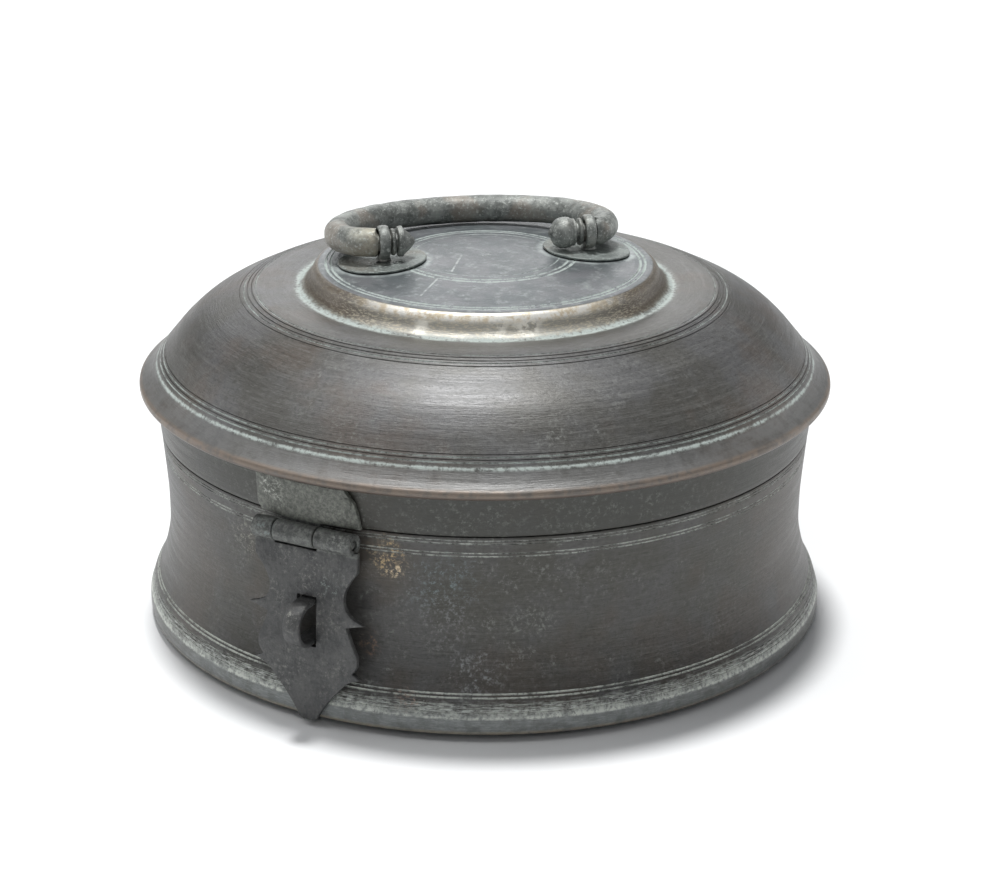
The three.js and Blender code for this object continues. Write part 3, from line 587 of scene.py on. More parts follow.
def lid_brass():
    """The lid's patina, with a bluish disc, pale rims round the pads, a worn shoulder with a painted
    highlight, a painted sheen on the ring's front and a brown brim with a painted sheen on its upper face.
    """
    p = turned_brass("lid_patina", LID_TONES, LID_STREAK, streaks=0.4)
    z, outer = p.split(p.place)[2], p.mark("outer")
    p.coat(p.ramp(z, *SKIRT_TO, 0, 0.8), SKIRT_DARK)
    dust = p.times(p.ramp(z, *SKIRT_TO), p.speckle, p.ramp(p.front, 0.5, 1, 0.3, 1),
                   p.ramp(p.grain, 0.4, 0.6))
    p.coat(dust, SKIRT_DUST)
    # Painted sheen: the brim's upper face is painted a lighter grey
    slope_sheen = p.times(p.ramp(p.radius, *SLOPE_REACH), p.ramp(z, *SLOPE_FOOT), p.ramp(z, *SLOPE_TO))
    p.coat(p.times(slope_sheen, p.ramp(p.grain, 0.3, 0.6, 0.25, 0.7)), SLOPE_SHEEN_GREY)
    brim = p.times(p.ramp(p.radius, *BRIM_REACH), p.ramp(z, *BRIM_TO))
    p.coat(p.times(brim, p.ramp(p.grain, 0.38, 0.58, 0.3, 0.85)), BRIM_BROWN)
    p.coat(p.times(p.ramp(z, *UNDERSIDE_TO), p.ramp(p.radius, *UNDERSIDE_REACH)), BRIM_UNDERSIDE)
    p.coat(p.times(outer, p.ramp(p.radius, *DISC_TO, 0, 0.88)), bluish_disc(p))
    for x in (-EYELET_SPREAD, EYELET_SPREAD):
        middle = HANDLE_FRAME @ Vector((x, PAD_BACK, 0))
        away = p.vector("LENGTH", p.vector("ADD", p.place, (-middle.x, -middle.y, -DISC_RIM - PAD_RIM_RISE)))
        rim = p.times(p.ramp(away, *PAD_RIM_FROM), p.ramp(away, *PAD_RIM_TO), outer,
                      p.ramp(p.grain, 0.35, 0.6, 0.15, 0.8))
        p.coat(rim, PAD_RIM)
    # Painted sheen and highlight: the ring is painted pale, streaked and glinting on its front and brown
    # elsewhere; the shoulder at the front is bare worn brass with a painted highlight
    front = p.vector("DOT_PRODUCT", p.round_way, RING_FRONT_WAY)
    ring = p.mix(p.ramp(front, 0.6, 0.95), RING_BROWN, RING_FRONT_SHEEN)
    ring = p.mix(p.times(p.streaks, p.ramp(front, 0.45, 0.85, 0.15, 0.9)), ring, RING_HIGHLIGHT_STREAK)
    for middle, size in RING_BARE_GLINT_SPOTS:
        ring = p.mix(spot(p, middle, size, p.ramp(p.grain, 0.4, 0.5)), ring, RING_BARE_GLINT)
    p.coat(p.times(p.ramp(p.radius, *RING_FROM), p.ramp(p.radius, *RING_TO, 0, 0.85), outer), ring)
    bare_and_highlight = p.times(p.ramp(p.radius, *SHOULDER_FROM), p.ramp(p.radius, *SHOULDER_TO), outer,
                   p.ramp(front, 0.6, 0.93, 0.08, 1), p.ramp(p.grain, 0.3, 0.5, 0.7, 1))
    p.coat(bare_and_highlight, p.mix(p.ramp(p.grain, 0.42, 0.6), SHOULDER_PALE_HIGHLIGHT, SHOULDER_GOLD_HIGHLIGHT))
    p.coat(p.deposit, LID_DEPOSIT)
    p.metallic = p.math("MAXIMUM", p.metallic, p.times(bare_and_highlight, 0.35))
    p.shader.inputs["Specular IOR Level"].default_value = LID_SPECULAR
    return p.finish(p.metallic, p.rough, p.normal)


# Cast bronze: dark, light and warm tones of the handle and of its pads
HANDLE_TONES = ((0.155, 0.165, 0.155), (0.33, 0.345, 0.325), (0.33, 0.285, 0.24))
PAD_TONES = ((0.17, 0.19, 0.18), (0.28, 0.31, 0.295), (0.22, 0.2, 0.17))
WORN_BRONZE = (0.46, 0.42, 0.3)
CAST_METALLIC = 0.35
WARMTH_SHIFT = (5, 44, 90)


def cast_bronze(name, tones):
    """Mottled, pitted casting, worn where the mark says."""
    p = Paint(name)
    dark, light, warm = tones
    mottle, pits = p.noise(p.place, CAST_MOTTLE), p.noise(p.place, CAST_PITS)
    p.colour = p.mix(p.ramp(mottle, 0.38, 0.62), dark, light)
    warmth = p.noise(p.vector("ADD", p.place, WARMTH_SHIFT), CAST_WARMTH)
    p.coat(p.ramp(warmth, 0.5, 0.64, 0, 0.6), warm)
    p.coat(p.times(p.mark("worn"), p.ramp(mottle, 0.35, 0.6, 0.1, 0.7)), WORN_BRONZE)
    p.coat(p.ramp(pits, 0.55, 0.64, 0, 0.75), tuple(1.7 * c for c in light))
    p.coat(p.ramp(pits, 0.42, 0.3, 0, 0.5), tuple(0.4 * c for c in dark))
    normal = p.bump(mottle, 0.5, p.bump(pits, 0.16))
    return p.finish(CAST_METALLIC, p.ramp(pits, 0.3, 0.7, 0.38, 0.58), normal)


# Sheet: colours, fades and spots
SHEET_DARK, SHEET_LIGHT = (0.056, 0.057, 0.058), (0.1, 0.101, 0.1)
SHEET_STROKE = (0.13, 0.13, 0.125)
SHEET_FLECKS = (0.21, 0.21, 0.195)
SHEET_PITS = (0.03, 0.03, 0.032)
LEAF_DARK, LEAF_LIGHT = (0.11, 0.117, 0.1), (0.24, 0.25, 0.215)
BARREL_DARK, BARREL_LIGHT = (0.085, 0.09, 0.085), (0.2, 0.21, 0.195)
EDGE_HIGHLIGHT = (0.25, 0.25, 0.23)
LEAF_FROM = (62.4, 62.8)
BARREL_TO = (3.9, 3.5)
STROKE_STRETCH = (1.2, 1.2, 0.3)
SHEET_METALLIC = 0.3
SHEET_SPOTS = (
    ((-13, -106.5, 70.5), 5, (0.55, 0.56, 0.52)), ((-11, -106.5, 67), 3.5, (0.4, 0.42, 0.38)),
    ((-0.5, -116.5, 37), 4, (0.34, 0.34, 0.31)), ((8, -111, 47), 6, (0.19, 0.23, 0.215)),
    ((11, -111, 60), 4, (0.3, 0.31, 0.29)), ((-12.5, -111, 60.5), 5, (0.2, 0.24, 0.24)))


def sheet_metal():
    """Dull sheet with scraped marks, pale flecks and a painted highlight on its edges; the leaf on the lid is
    greener.
    """
    p = Paint("hasp_sheet")
    axes = p.split(p.place)
    y, z = axes[1], axes[2]
    strokes = p.noise(p.joined(*(p.times(a, s) for a, s in zip(axes, STROKE_STRETCH))), SHEET_STROKES)
    mottle, specks = p.noise(p.place, SHEET_MOTTLE), p.noise(p.place, SHEET_SPECKS)
    speckle = p.ramp(specks, 0.52, 0.62)
    p.colour = p.mix(p.ramp(mottle, 0.38, 0.62), SHEET_DARK, SHEET_LIGHT)
    p.coat(p.ramp(strokes, 0.48, 0.7, 0, 0.5), SHEET_STROKE)
    patches = p.ramp(p.noise(p.place, SHEET_PATCHES), 0.45, 0.62, 0.15, 0.85)
    p.coat(p.times(speckle, patches), SHEET_FLECKS)
    p.coat(p.ramp(specks, 0.46, 0.34, 0, 0.6), SHEET_PITS)
    leaf = p.mix(p.ramp(specks, 0.4, 0.62), LEAF_DARK, LEAF_LIGHT)
    p.coat(p.ramp(z, *LEAF_FROM, 0, 0.7), leaf)
    axis = p.joined(0, p.math("SUBTRACT", p.math("ABSOLUTE", y), BARREL_OUT),
                    p.math("SUBTRACT", z, BARREL_HEIGHT))
    barrel = p.times(p.ramp(p.vector("LENGTH", axis), *BARREL_TO), p.ramp(mottle, 0.35, 0.6, 0.4, 0.9))
    p.coat(barrel, p.mix(p.ramp(specks, 0.4, 0.6), BARREL_DARK, BARREL_LIGHT))
    for middle, size, tone in SHEET_SPOTS:
        p.coat(spot(p, middle, size, speckle), tone)
    # Painted highlight: edges and sharp bends are painted paler
    pointed = p.node("NewGeometry").outputs["Pointiness"]
    p.coat(p.ramp(pointed, 0.56, 0.66, 0, 0.5), EDGE_HIGHLIGHT)
    normal = p.bump(mottle, 0.6, p.bump(specks, 0.1, p.bump(strokes, 0.06)))
    return p.finish(SHEET_METALLIC, p.ramp(mottle, 0.3, 0.7, 0.42, 0.58), normal)


BODY, LID, HASP = body_brass(), lid_brass(), sheet_metal()
BRONZE, PAD = cast_bronze("cast_bronze", HANDLE_TONES), cast_bronze("pad_bronze", PAD_TONES)


# Base

# A row of a profile is radius, height and deposit. A row of lines is the place by radius or height, the
# shares of the usual width and depth, and the deposit
RADIUS, HEIGHT = 0, 1
EDGE_SOFT = 0.3
COLLAR_FOOT = 53.4
FOOT = (
    (91.2, 0, 0), (92.2, 0.2, 0), (94.4, 1.3, 0), (97.2, 2.1, 0), (101, 2.35, 0), (108, 2.4, 0),
    (109, 2.75, 0), (109.34, 3.6, 0), (109.34, 6.2, 0), (109.25, 7, 0), (109, 7.7, 1))
WALL = lines_joined(smooth_line((
    (109, 7.7, 1), (108.85, 8.2, 0.45), (108.3, 9.9, 0.12), (107.6, 11.8, 0), (105.9, 15, 0),
    (104.35, 19, 0), (103.3, 23, 0), (102.5, 27, 0), (102.05, 31, 0), (101.98, 36, 0),
    (102.12, 43, 0), (102.62, 50, 0), (103.2, 57, 0), (103.64, 62.1, 0)), per_span=10))
RIM = (
    (103.64, 62.1, 0), (103.5, 62.35, 0), (103.2, 62.4, 0), (101.46, 62.4, 0), (101.46, 67.2, 0),
    (101.1, 67.5, 0), (100.3, 67.5, 0), (99.96, 67.2, 0), (99.96, COLLAR_FOOT, 0))
BODY_LINES = (
    (9.3, 0.4, 0.6, 0.5), (10.4, 0.4, 0.8, 0.3), (11.4, 0.4, 0.8, 0.4), (13.2, 0.5, 0.8, 1),
    (14.2, 0.5, 0.8, 1), (56.4, 0.4, 0.7, 0.55), (57.4, 0.4, 0.7, 0.55), (60.4, 0.45, 0.7, 0.3),
    (61.3, 0.45, 0.7, 0.3))


def base_shell():
    wall = lines_joined([(0, 0, 0)], smooth_line(FOOT, per_span=4), WALL)
    inside = [(p[0], p[1], 0) for p in side_line(wall, SHEET)[::-3] if p[1] < COLLAR_FOOT and p[0] > 1]
    profile = lines_joined(engraved(wall, HEIGHT, BODY_LINES), RIM, inside, [(0, SHEET, 0)])
    points, faces, deposits = turned(profile, BOWL_SIDES)
    new_piece("base_shell", points, faces, "base", BODY, ["base_body"],
              marks={"deposit": deposits})


# Lid

SKIRT = np.array([(SKIRT_FOOT_RADIUS, SKIRT_FOOT), (SKIRT_TOP_RADIUS, SKIRT_TOP)])
SKIRT_EDGE = SKIRT_FOOT + EDGE_SOFT
SKIRT_LINE = (
    (SKIRT_FOOT_RADIUS, SKIRT_EDGE, 0), (104.4, 69, 0), (104.9, 74.2, 0), (105.5, 75.3, 0), (107.2, 75.72, 0))
BRIM = (
    (107.2, 75.72, 0), (109, 76, 0), (109.83, 76.7, 0), (109.97, 77.6, 0), (109.74, 78.4, 0),
    (108.9, 79.1, 0), (107.2, 80.4, 0), (105.6, 82, 0), (104.7, 83.05, 0.1), (104.3, 83.7, 1))
DOME = (
    (104.3, 83.7, 1), (103.95, 84.15, 0.1), (103.2, 85.1, 0), (101, 87.76, 0), (97, 92.47, 0), (92, 97.12, 0),
    (87, 100.5, 0), (82, 103, 0), (77.44, 105.12, 0), (73.4, 106.62, 0))
PLATEAU = (
    (73.4, 106.62, 0), (70, 107.05, 0), (66, 107.1, 0), (62, 106.85, 0), (60.3, 106.65, 0.2),
    (59.31, 106.62, 1))
RING = (
    (59.31, 106.62, 1), (58.7, 106.8, 0.7), (57.2, 107.6, 0.1), (56, 108.8, 0), (55.3, 110.3, 0),
    (54.6, 111.8, 0), (53.9, 112.75, 0), (53.1, 113.3, 0), (52, 113.55, 0), (50.8, 113.6, 0))
DISC_STEPS = (DISC_RADIUS, 49, 47, 44, 40, 36, 32, 30, 28.5, 26, 24.5, 22, 18, 13, 8, 4, 0)
LID_LINES = (
    (103.2, 0.35, 0.7, 0.85), (102.65, 0.3, 1, 0), (102.15, 0.35, 0.7, 0.65), (101.6, 0.3, 1, 0),
    (77.6, 0.55, 1, 0), (76.3, 0.5, 0.8, 0.35), (75.2, 0.5, 1, 0), (73.8, 0.55, 1, 0), (72.6, 0.5, 0.7, 0.35),
    (50.4, 0.8, 0.8, 0.9), (48.9, 0.8, 0.8, 0.9), (28.4, 0.9, 0.7, 0.9), (26.5, 0.8, 0.7, 0.8),
    (23.3, 0.5, 0.5, 0.4))
HOLLOW_REACH = 100.4
MOUTH_TOP = 82.6


def disc_height(radius):
    return DISC_RIM + DISC_CROWN * (1 - (radius / DISC_RADIUS) ** 2)


def lid_shell():
    skirt = [(LID_BORE, SKIRT_EDGE, 0), (LID_BORE + EDGE_SOFT, SKIRT_FOOT, 0),
             (SKIRT_FOOT_RADIUS - EDGE_SOFT, SKIRT_FOOT, 0), (SKIRT_FOOT_RADIUS, SKIRT_EDGE, 0)]
    disc = [(radius, disc_height(radius), 0) for radius in DISC_STEPS]
    shell = lines_joined(smooth_line(DOME, per_span=8), smooth_line(PLATEAU, per_span=6),
                         smooth_line(RING, per_span=5), disc)
    outside = lines_joined(skirt, smooth_line(SKIRT_LINE, per_span=5), smooth_line(BRIM, per_span=4),
                           engraved(shell, RADIUS, LID_LINES))
    inside = [(p[0], p[1], 0) for p in side_line(shell, SHEET)[::3] if 0.5 < p[0] < HOLLOW_REACH]
    top = disc_height(0) - SHEET
    mouth = [(LID_BORE, MOUTH_TOP, 0), (LID_BORE, SKIRT_EDGE, 0)]
    points, faces, deposits = turned(lines_joined(outside, [(0, top, 0)], inside[::-1], mouth), BOWL_SIDES)
    heights = np.interp([hypot(p[0], p[1]) for p in points], shell[::-1, 0], shell[::-1, 1])
    outer = [float(p[2] > height - SHEET / 2) for p, height in zip(points, heights)]
    new_piece("lid_shell", points, faces, "lid", LID, ["lid"],
              marks={"deposit": deposits, "outer": outer})


# Handle

BAIL_FRAME = (HANDLE_FRAME @ Matrix.Translation((0, 0, HANDLE_AXIS))
              @ Matrix.Rotation(radians(-BAIL_DIP), 4, "X"))
BEND_TURNS = np.radians(np.arange(27, 91, 7))
BOW_TURNS = np.radians(np.arange(5, 90, 5))
BAIL_SIDES = 40

# Where the handle is worn: the middle, and how far the wear reaches along the handle and off its axis
WORN_AT = -37
WORN_REACH = (9, 12)

# A pad's section: share of the way from its hole to its edge, and height
PAD_SECTION = (
    (0, 0), (0.4, 0), (0.8, 0), (0.97, 0), (0.996, 0.2), (1, 0.45), (0.99, 0.66), (0.965, 0.74), (0.92, 0.71),
    (0.75, 0.7), (0.4, 0.7), (0, 0.7))
PAD_SIDES = 96
PAD_WANDER, PAD_WAVES = 0.5, 1.6
PAD_DENT, PAD_DENT_SIZE, PAD_DENT_FROM = 0.12, 3.5, 0.6

# An eyelet: half a section of its ring as radius and distance from the edge, and its stem, foot and legs
EYELET_SECTION = ((3.6, 0.5), (4, 0.1), (4.6, 0), (5.1, 0.2), (5.38, 0.9))
EYELET_SIDES, STEM_SIDES, LEG_SIDES = 64, 24, 16
STEM_RADIUS = 1.6
STEM_FOOT, STEM_TOP = 1.2, 4.3
FOOT_SEAT, FOOT_RISE = 0.76, 1.2
FOOT_RADII = (2.6, 1.8)
LEG_REACH, LEG_TIP, LEG_RADIUS, LEG_DROP = 7.6, 8.2, 0.6, 0.6
EYELET_SKIN = 0.28
UNDERSIDE_OUT, UNDERSIDE_GAP = 2, 0.5


def pad_height(x, y):
    place = HANDLE_FRAME @ Vector((x, y, 0))
    return disc_height(hypot(place.x, place.y)) + SEAT_GAP


def half_bail(half_width):
    """The middle line of one half of the bail, from the eyelet to the middle of the bow."""
    bend = half_width - EYELET_SPREAD
    turn = [(EYELET_SPREAD + bend * sin(a), BEND_REACH * (1 - cos(a))) for a in BEND_TURNS]
    rise = BAIL_REACH - BEND_REACH
    bow = [(half_width * cos(a), BEND_REACH + rise * sin(a)) for a in BOW_TURNS]
    return [(SHOULDER, 0.1), *turn, *bow]


def bail():
    right = half_bail(BAIL_HALF_WIDTH - BAIL_SHIFT)
    left = half_bail(BAIL_HALF_WIDTH + BAIL_SHIFT)
    line = smooth_line(right + [(0, BAIL_REACH)] + [(-x, y) for x, y in left[::-1]], per_span=3)
    ways = np.gradient(line, axis=0)
    stations = [((x, 0, 0), (1, 0, 0), radius, 0) for x, radius in RIGHT_END]
    stations += [((x, y, 0), (*way, 0), ROD_RADIUS, 0) for (x, y), way in zip(line, ways)]
    stations += [((-x, 0, 0), (1, 0, 0), radius, facets) for x, radius, facets in LEFT_END[::-1]]
    points, faces = rod(stations, BAIL_SIDES)
    along, off = WORN_REACH
    worn = [max(0, 1 - abs(p[0] - WORN_AT) / along) * max(0, 1 - abs(p[1]) / off) for p in points]
    points = [BAIL_FRAME @ p for p in uneven(points, size=5, reach=0.16, seed=1)]
    new_piece("bail", points, faces, "handle", BRONZE, ["handle_bail"], sharp=50,
              marks={"worn": worn})


def pad(name, x, seed):
    """A thin round plate on the disc, with a wandering edge and small dents."""
    points, rows = [], []
    for share, height in PAD_SECTION:
        rows.append([len(points) + n for n in range(PAD_SIDES)])
        for n in range(PAD_SIDES):
            turn = TURN * n / PAD_SIDES
            wander = 0.5 + noise.noise(Vector((cos(turn), sin(turn), seed)) * PAD_WAVES)
            reach = PAD_HOLE + (PAD_RADIUS - PAD_WANDER * wander - PAD_HOLE) * share
            across, along = x + reach * cos(turn), reach * sin(turn) + PAD_BACK * share
            up = pad_height(across, along) + height
            if height > PAD_DENT_FROM:
                up += PAD_DENT * noise.noise(Vector((across, along, seed)) / PAD_DENT_SIZE)
            points.append(HANDLE_FRAME @ Vector((across, along, up)))
    new_piece(name, points, skin(rows, True), "lid", PAD, ["handle_" + name], sharp=50)


def together(*parts):
    """Points and faces of several forms as one."""
    points, faces = [], []
    for more, skins in parts:
        faces += [[n + len(points) for n in face] for face in skins]
        points += more
    return points, faces


def fused(parts, voxel):
    """One skin around several closed forms that cross, as if they were cast in one."""
    points, faces = together(*parts)
    data = bpy.data.meshes.new("fused")
    data.from_pydata([tuple(p) for p in points], [], faces)
    rough = linked("fused", data)
    remesh = rough.modifiers.new("skin", "REMESH")
    remesh.mode, remesh.voxel_size = "VOXEL", voxel
    relax = rough.modifiers.new("relax", "SMOOTH")
    relax.factor, relax.iterations = 0.5, 3
    made = rough.evaluated_get(bpy.context.evaluated_depsgraph_get()).to_mesh()
    out = [Vector(v.co) for v in made.vertices], [list(face.vertices) for face in made.polygons]
    bpy.data.objects.remove(rough)
    return out


def post(x, foot, top, foot_radius, top_radius):
    """An upright rod of an eyelet."""
    up = (0, 0, 1)
    return rod([((x, 0, foot), up, 0), ((x, 0, foot), up, foot_radius), ((x, 0, top), up, top_radius),
                ((x, 0, top), up, 0)], STEM_SIDES, (0, 1, 0))


def eyelet(name, x, seed):
    """A ring for the bail, with a foot on the pad, a stem through the lid and legs bent apart inside."""
    half = EYELET_WIDTH / 2
    section = [(radius, edge - half, 0) for radius, edge in EYELET_SECTION]
    section += [(radius, half - edge, 0) for radius, edge in EYELET_SECTION[::-1]]
    ring, ring_faces, _ = turned(np.array(section + section[:1]), EYELET_SIDES)
    ring = [(x + p[2], p[1], HANDLE_AXIS + p[0]) for p in ring]
    inside = disc_height(EYELET_SPREAD + UNDERSIDE_OUT) - SHEET - UNDERSIDE_GAP
    stem = post(x, inside - STEM_FOOT, HANDLE_AXIS - STEM_TOP, STEM_RADIUS, STEM_RADIUS)
    seat = pad_height(x, 0) + FOOT_SEAT
    foot = post(x, seat, seat + FOOT_RISE, *FOOT_RADII)
    legs = rod([((x, y, inside - LEG_DROP), (0, 1, 0), radius) for y, radius in (
        (-LEG_TIP, 0), (-LEG_REACH, LEG_RADIUS), (LEG_REACH, LEG_RADIUS), (LEG_TIP, 0))], LEG_SIDES)
    points, faces = fused([(ring, ring_faces), stem, foot, legs], EYELET_SKIN)
    points = [HANDLE_FRAME @ p for p in uneven(points, size=3, reach=0.1, seed=seed)]
    new_piece(name, points, faces, "lid", BRONZE, ["handle_" + name], sharp=60)


# Sheets, barrels and pins

LEAF_SOFT = 0.25
CORNER_BEND = 0.35
ROUND_SHARE = 0.3
ROLL_STEPS = 40
ROLL_SOFT = 0.25
SEAM_HALF = 3
LEAF_TUCK = 1.2
LEAF_TOP_GAP = 0.4

# The right edge of the lid's leaf: shares of its lean and of its height, and how high its left edge flares
LEAF_EDGE_SHARES = ((0.22, 0), (0.32, 0.35), (0.5, 0.67), (1, 1))
FLARE_SHARE = 0.2

# The body's leaf below the barrel's axis, its corners, and its room round the middle knuckle
BODY_LEAF_TOP, BODY_LEAF_FOOT = 1.3, 22.5
CORNER, CORNER_IN = 5, 1.5
ROOM_SIDE, ROOM_DEPTH = 0.5, 2.6

# The hasp below the barrel's axis, and how much shorter its right knuckle is
HASP_TOP, HASP_ROOM_FOOT = 2.2, 3.85
KNUCKLE_SHORT = 1.2

# The upper arm of the staple: in from its seat or back from its bow, and above its middle
STAPLE_TAIL = (5, 1)
STAPLE_BEND = (0.2, 0.35)
STAPLE_ARM_FROM, STAPLE_ARM_TO = 0.9, 4
STAPLE_SOFT = 0.3
STAPLE_TURNS = np.radians(np.arange(0, 181, 9))

# The pin's end, in from its tip, and the rivet's tail and head, out from the sheets
PIN_END = ((0, 0), (0, 0.8), (0.2, 1.1), (0.5, PIN_RADIUS))
PIN_SIDES, RIVET_SIDES = 24, 28
RIVET_TAIL = ((-1, 0), (-1, 1.5), (-0.8, 2.1), (-0.35, 2.3), (-0.1, 2), (-0.1, 1.3))
RIVET_HEAD = ((0.05, 1.3), (0.05, 2.1), (0.2, 2.1), (0.34, 1.7), (0.42, 1), (0.45, 0))


def within(places, outline):
    """Which of the places lie inside a closed outline."""
    inside = np.zeros(len(places), bool)
    for (x0, y0), (x1, y1) in zip(outline, np.roll(outline, -1, axis=0)):
        crosses = (y0 > places[:, 1]) != (y1 > places[:, 1])
        with np.errstate(divide="ignore", invalid="ignore"):
            inside ^= crosses & (places[:, 0] < x0 + (places[:, 1] - y0) * (x1 - x0) / (y1 - y0))
    return inside


def dense(outline, step=0.8):
    """A closed outline with points at most a step apart."""
    out = []
    for a, b in zip(outline, np.roll(outline, -1, axis=0)):
        cuts = max(1, ceil(np.linalg.norm(b - a) / step))
        out += [a + (b - a) * n / cuts for n in range(cuts)]
    return np.array(out)


def inset(outline, distance):
    """A closed outline moved to its left, the corners kept."""
    way = np.roll(outline, -1, axis=0) - outline
    way /= np.linalg.norm(way, axis=1)[:, None]
    both = way + np.roll(way, 1, axis=0)
    both /= np.linalg.norm(both, axis=1)[:, None]
    bend = np.maximum((both * way).sum(axis=1), CORNER_BEND)
    return outline + distance / bend[:, None] * np.c_[-both[:, 1], both[:, 0]]


def sheet(outlines, thickness, place, soft, grid=1.7, margin=0.5):
    """A sheet with rounded edges and holes. Place gives the point for x, z and the depth from its middle."""
    outlines = [dense(np.array(line, float)) for line in outlines]
    insets = [inset(line, soft) for line in outlines]
    half = thickness / 2
    points, faces = [], []
    for line, inner in zip(outlines, insets):
        rows = []
        between = line + (inner - line) * ROUND_SHARE
        for at, depth in ((inner, -half), (between, ROUND_SHARE * soft - half), (line, soft - half),
                          (line, half - soft), (between, half - ROUND_SHARE * soft), (inner, half)):
            rows.append([len(points) + n for n in range(len(at))])
            points += [place(x, z, depth) for x, z in at]
        faces += skin(rows)
    low, high = insets[0].min(axis=0), insets[0].max(axis=0)
    across, up = (np.arange(a, b, grid) for a, b in zip(low, high))
    spots = np.array([(x, z) for x in across for z in up])
    keep = within(spots, inset(outlines[0], soft + margin))
    for line in outlines[1:]:
        keep &= ~within(spots, inset(line, soft + margin))
    flat = np.vstack([*insets, spots[keep]])
    edges, first = [], 0
    for line in insets:
        edges += [(first + n, first + (n + 1) % len(line)) for n in range(len(line))]
        first += len(line)
    spots, _, triangles, *_ = delaunay_2d_cdt([Vector(p) for p in flat], edges, [], 0, NEAR)
    middles = np.array([np.mean([spots[n] for n in t], axis=0) for t in triangles])
    keep = within(middles, insets[0])
    for line in insets[1:]:
        keep &= ~within(middles, line)
    back, front = len(points), len(points) + len(spots)
    points += [place(x, z, -half) for x, z in spots] + [place(x, z, half) for x, z in spots]
    for use, triangle in zip(keep, triangles):
        if use:
            faces.append([front + n for n in triangle])
            faces.append([back + n for n in reversed(triangle)])
    return points, faces


def knuckle(start, end, place, seam):
    """A sheet rolled round the pin: an open barrel with a seam, round the origin of its place."""
    turns = np.radians(np.linspace(seam + SEAM_HALF, seam + 360 - SEAM_HALF, ROLL_STEPS))
    points, rows = [], []
    for x, trim in ((start, ROLL_SOFT), (start + ROLL_SOFT, 0), (end - ROLL_SOFT, 0), (end, ROLL_SOFT)):
        rows.append([len(points) + n for n in range(2 * ROLL_STEPS)])
        for radius, way in ((BARREL_RADIUS - BARREL_INSET - trim, 1), (BORE_RADIUS + trim, -1)):
            points += [place(x, radius * sin(a), radius * cos(a)) for a in turns[::way]]
    faces = skin(rows)
    for row, way in ((rows[0], 1), (rows[-1], -1)):
        faces += [[row[n], row[n + 1], row[-2 - n], row[-1 - n]][::way] for n in range(ROLL_STEPS - 1)]
    return points, faces


def on_wall(line, side):
    """The place on a wall of revolution for x, z and a depth from the middle of a leaf."""
    def place(x, z, depth):
        radius = np.interp(z, line[:, 1], line[:, 0]) + SEAT_GAP + LEAF_SHEET / 2 + depth
        turn = asin(x / radius)
        return side * Vector((radius * sin(turn), -radius * cos(turn), 0)) + Vector((0, 0, z))
    return place


def at_barrel(side):
    """The place for x, outward and upward distances from the barrel's axis."""
    return lambda x, out, up: Vector((side * x, -side * (BARREL_OUT + out), BARREL_HEIGHT + up))


def lid_leaf(name, rides, side, lean, swell):
    """The leaf on the lid's skirt, with the middle knuckle."""
    foot, top = BARREL_HEIGHT + BARREL_RADIUS + SEAT_GAP, SKIRT_TOP - LEAF_TOP_GAP
    tuck, wide, height = BARREL_HEIGHT + LEAF_TUCK, LEAF_HALF_WIDTH, top - foot
    outline = [(KNUCKLE_FROM, foot), (KNUCKLE_FROM, tuck), (KNUCKLE_TO, tuck), (KNUCKLE_TO, foot)]
    outline += [(wide - into * lean, foot + up * height) for into, up in LEAF_EDGE_SHARES]
    outline += [(-wide - swell, top), (-wide - swell, foot + FLARE_SHARE * height), (-wide, foot)]
    plate = sheet([outline], LEAF_SHEET, on_wall(SKIRT, side), LEAF_SOFT)
    points, faces = together(plate, knuckle(KNUCKLE_FROM, KNUCKLE_TO, at_barrel(side), seam=160))
    new_piece(name, uneven(points, size=7, reach=0.12, seed=side), faces, "lid", HASP, [rides])


def body_leaf():
    """The rear leaf on the body's wall, with the two outer knuckles."""
    top, foot, wide = BARREL_HEIGHT - BODY_LEAF_TOP, BARREL_HEIGHT - BODY_LEAF_FOOT, LEAF_HALF_WIDTH
    room_from, room_to = KNUCKLE_FROM - ROOM_SIDE, KNUCKLE_TO + ROOM_SIDE
    right = [(wide - CORNER, foot), (wide - CORNER_IN, foot + CORNER_IN), (wide, foot + CORNER), (wide, top)]
    outline = [(-x, z) for x, z in right[::-1]] + right
    outline += [(room_to, top), (room_to, top - ROOM_DEPTH), (room_from, top - ROOM_DEPTH), (room_from, top)]
    plate = sheet([outline], LEAF_SHEET, on_wall(WALL, -1), LEAF_SOFT)
    ends = [knuckle(a, b, at_barrel(-1), seam=20) for a, b in
            ((-wide, KNUCKLE_FROM - SEAT_GAP), (KNUCKLE_TO + SEAT_GAP, wide))]
    points, faces = together(plate, *ends)
    new_piece("hinge_body_leaf_skin", uneven(points, size=7, reach=0.12, seed=5), faces, "base",
              HASP, ["hinge_body_leaf"])


def hasp_place(x, up, depth):
    """The place for x, the distance up the hanging plate from the barrel's axis and the depth outward."""
    hang = radians(HASP_HANG)
    out = depth * cos(hang) - up * sin(hang)
    return Vector((x, -BARREL_OUT - out, BARREL_HEIGHT + up * cos(hang) + depth * sin(hang)))


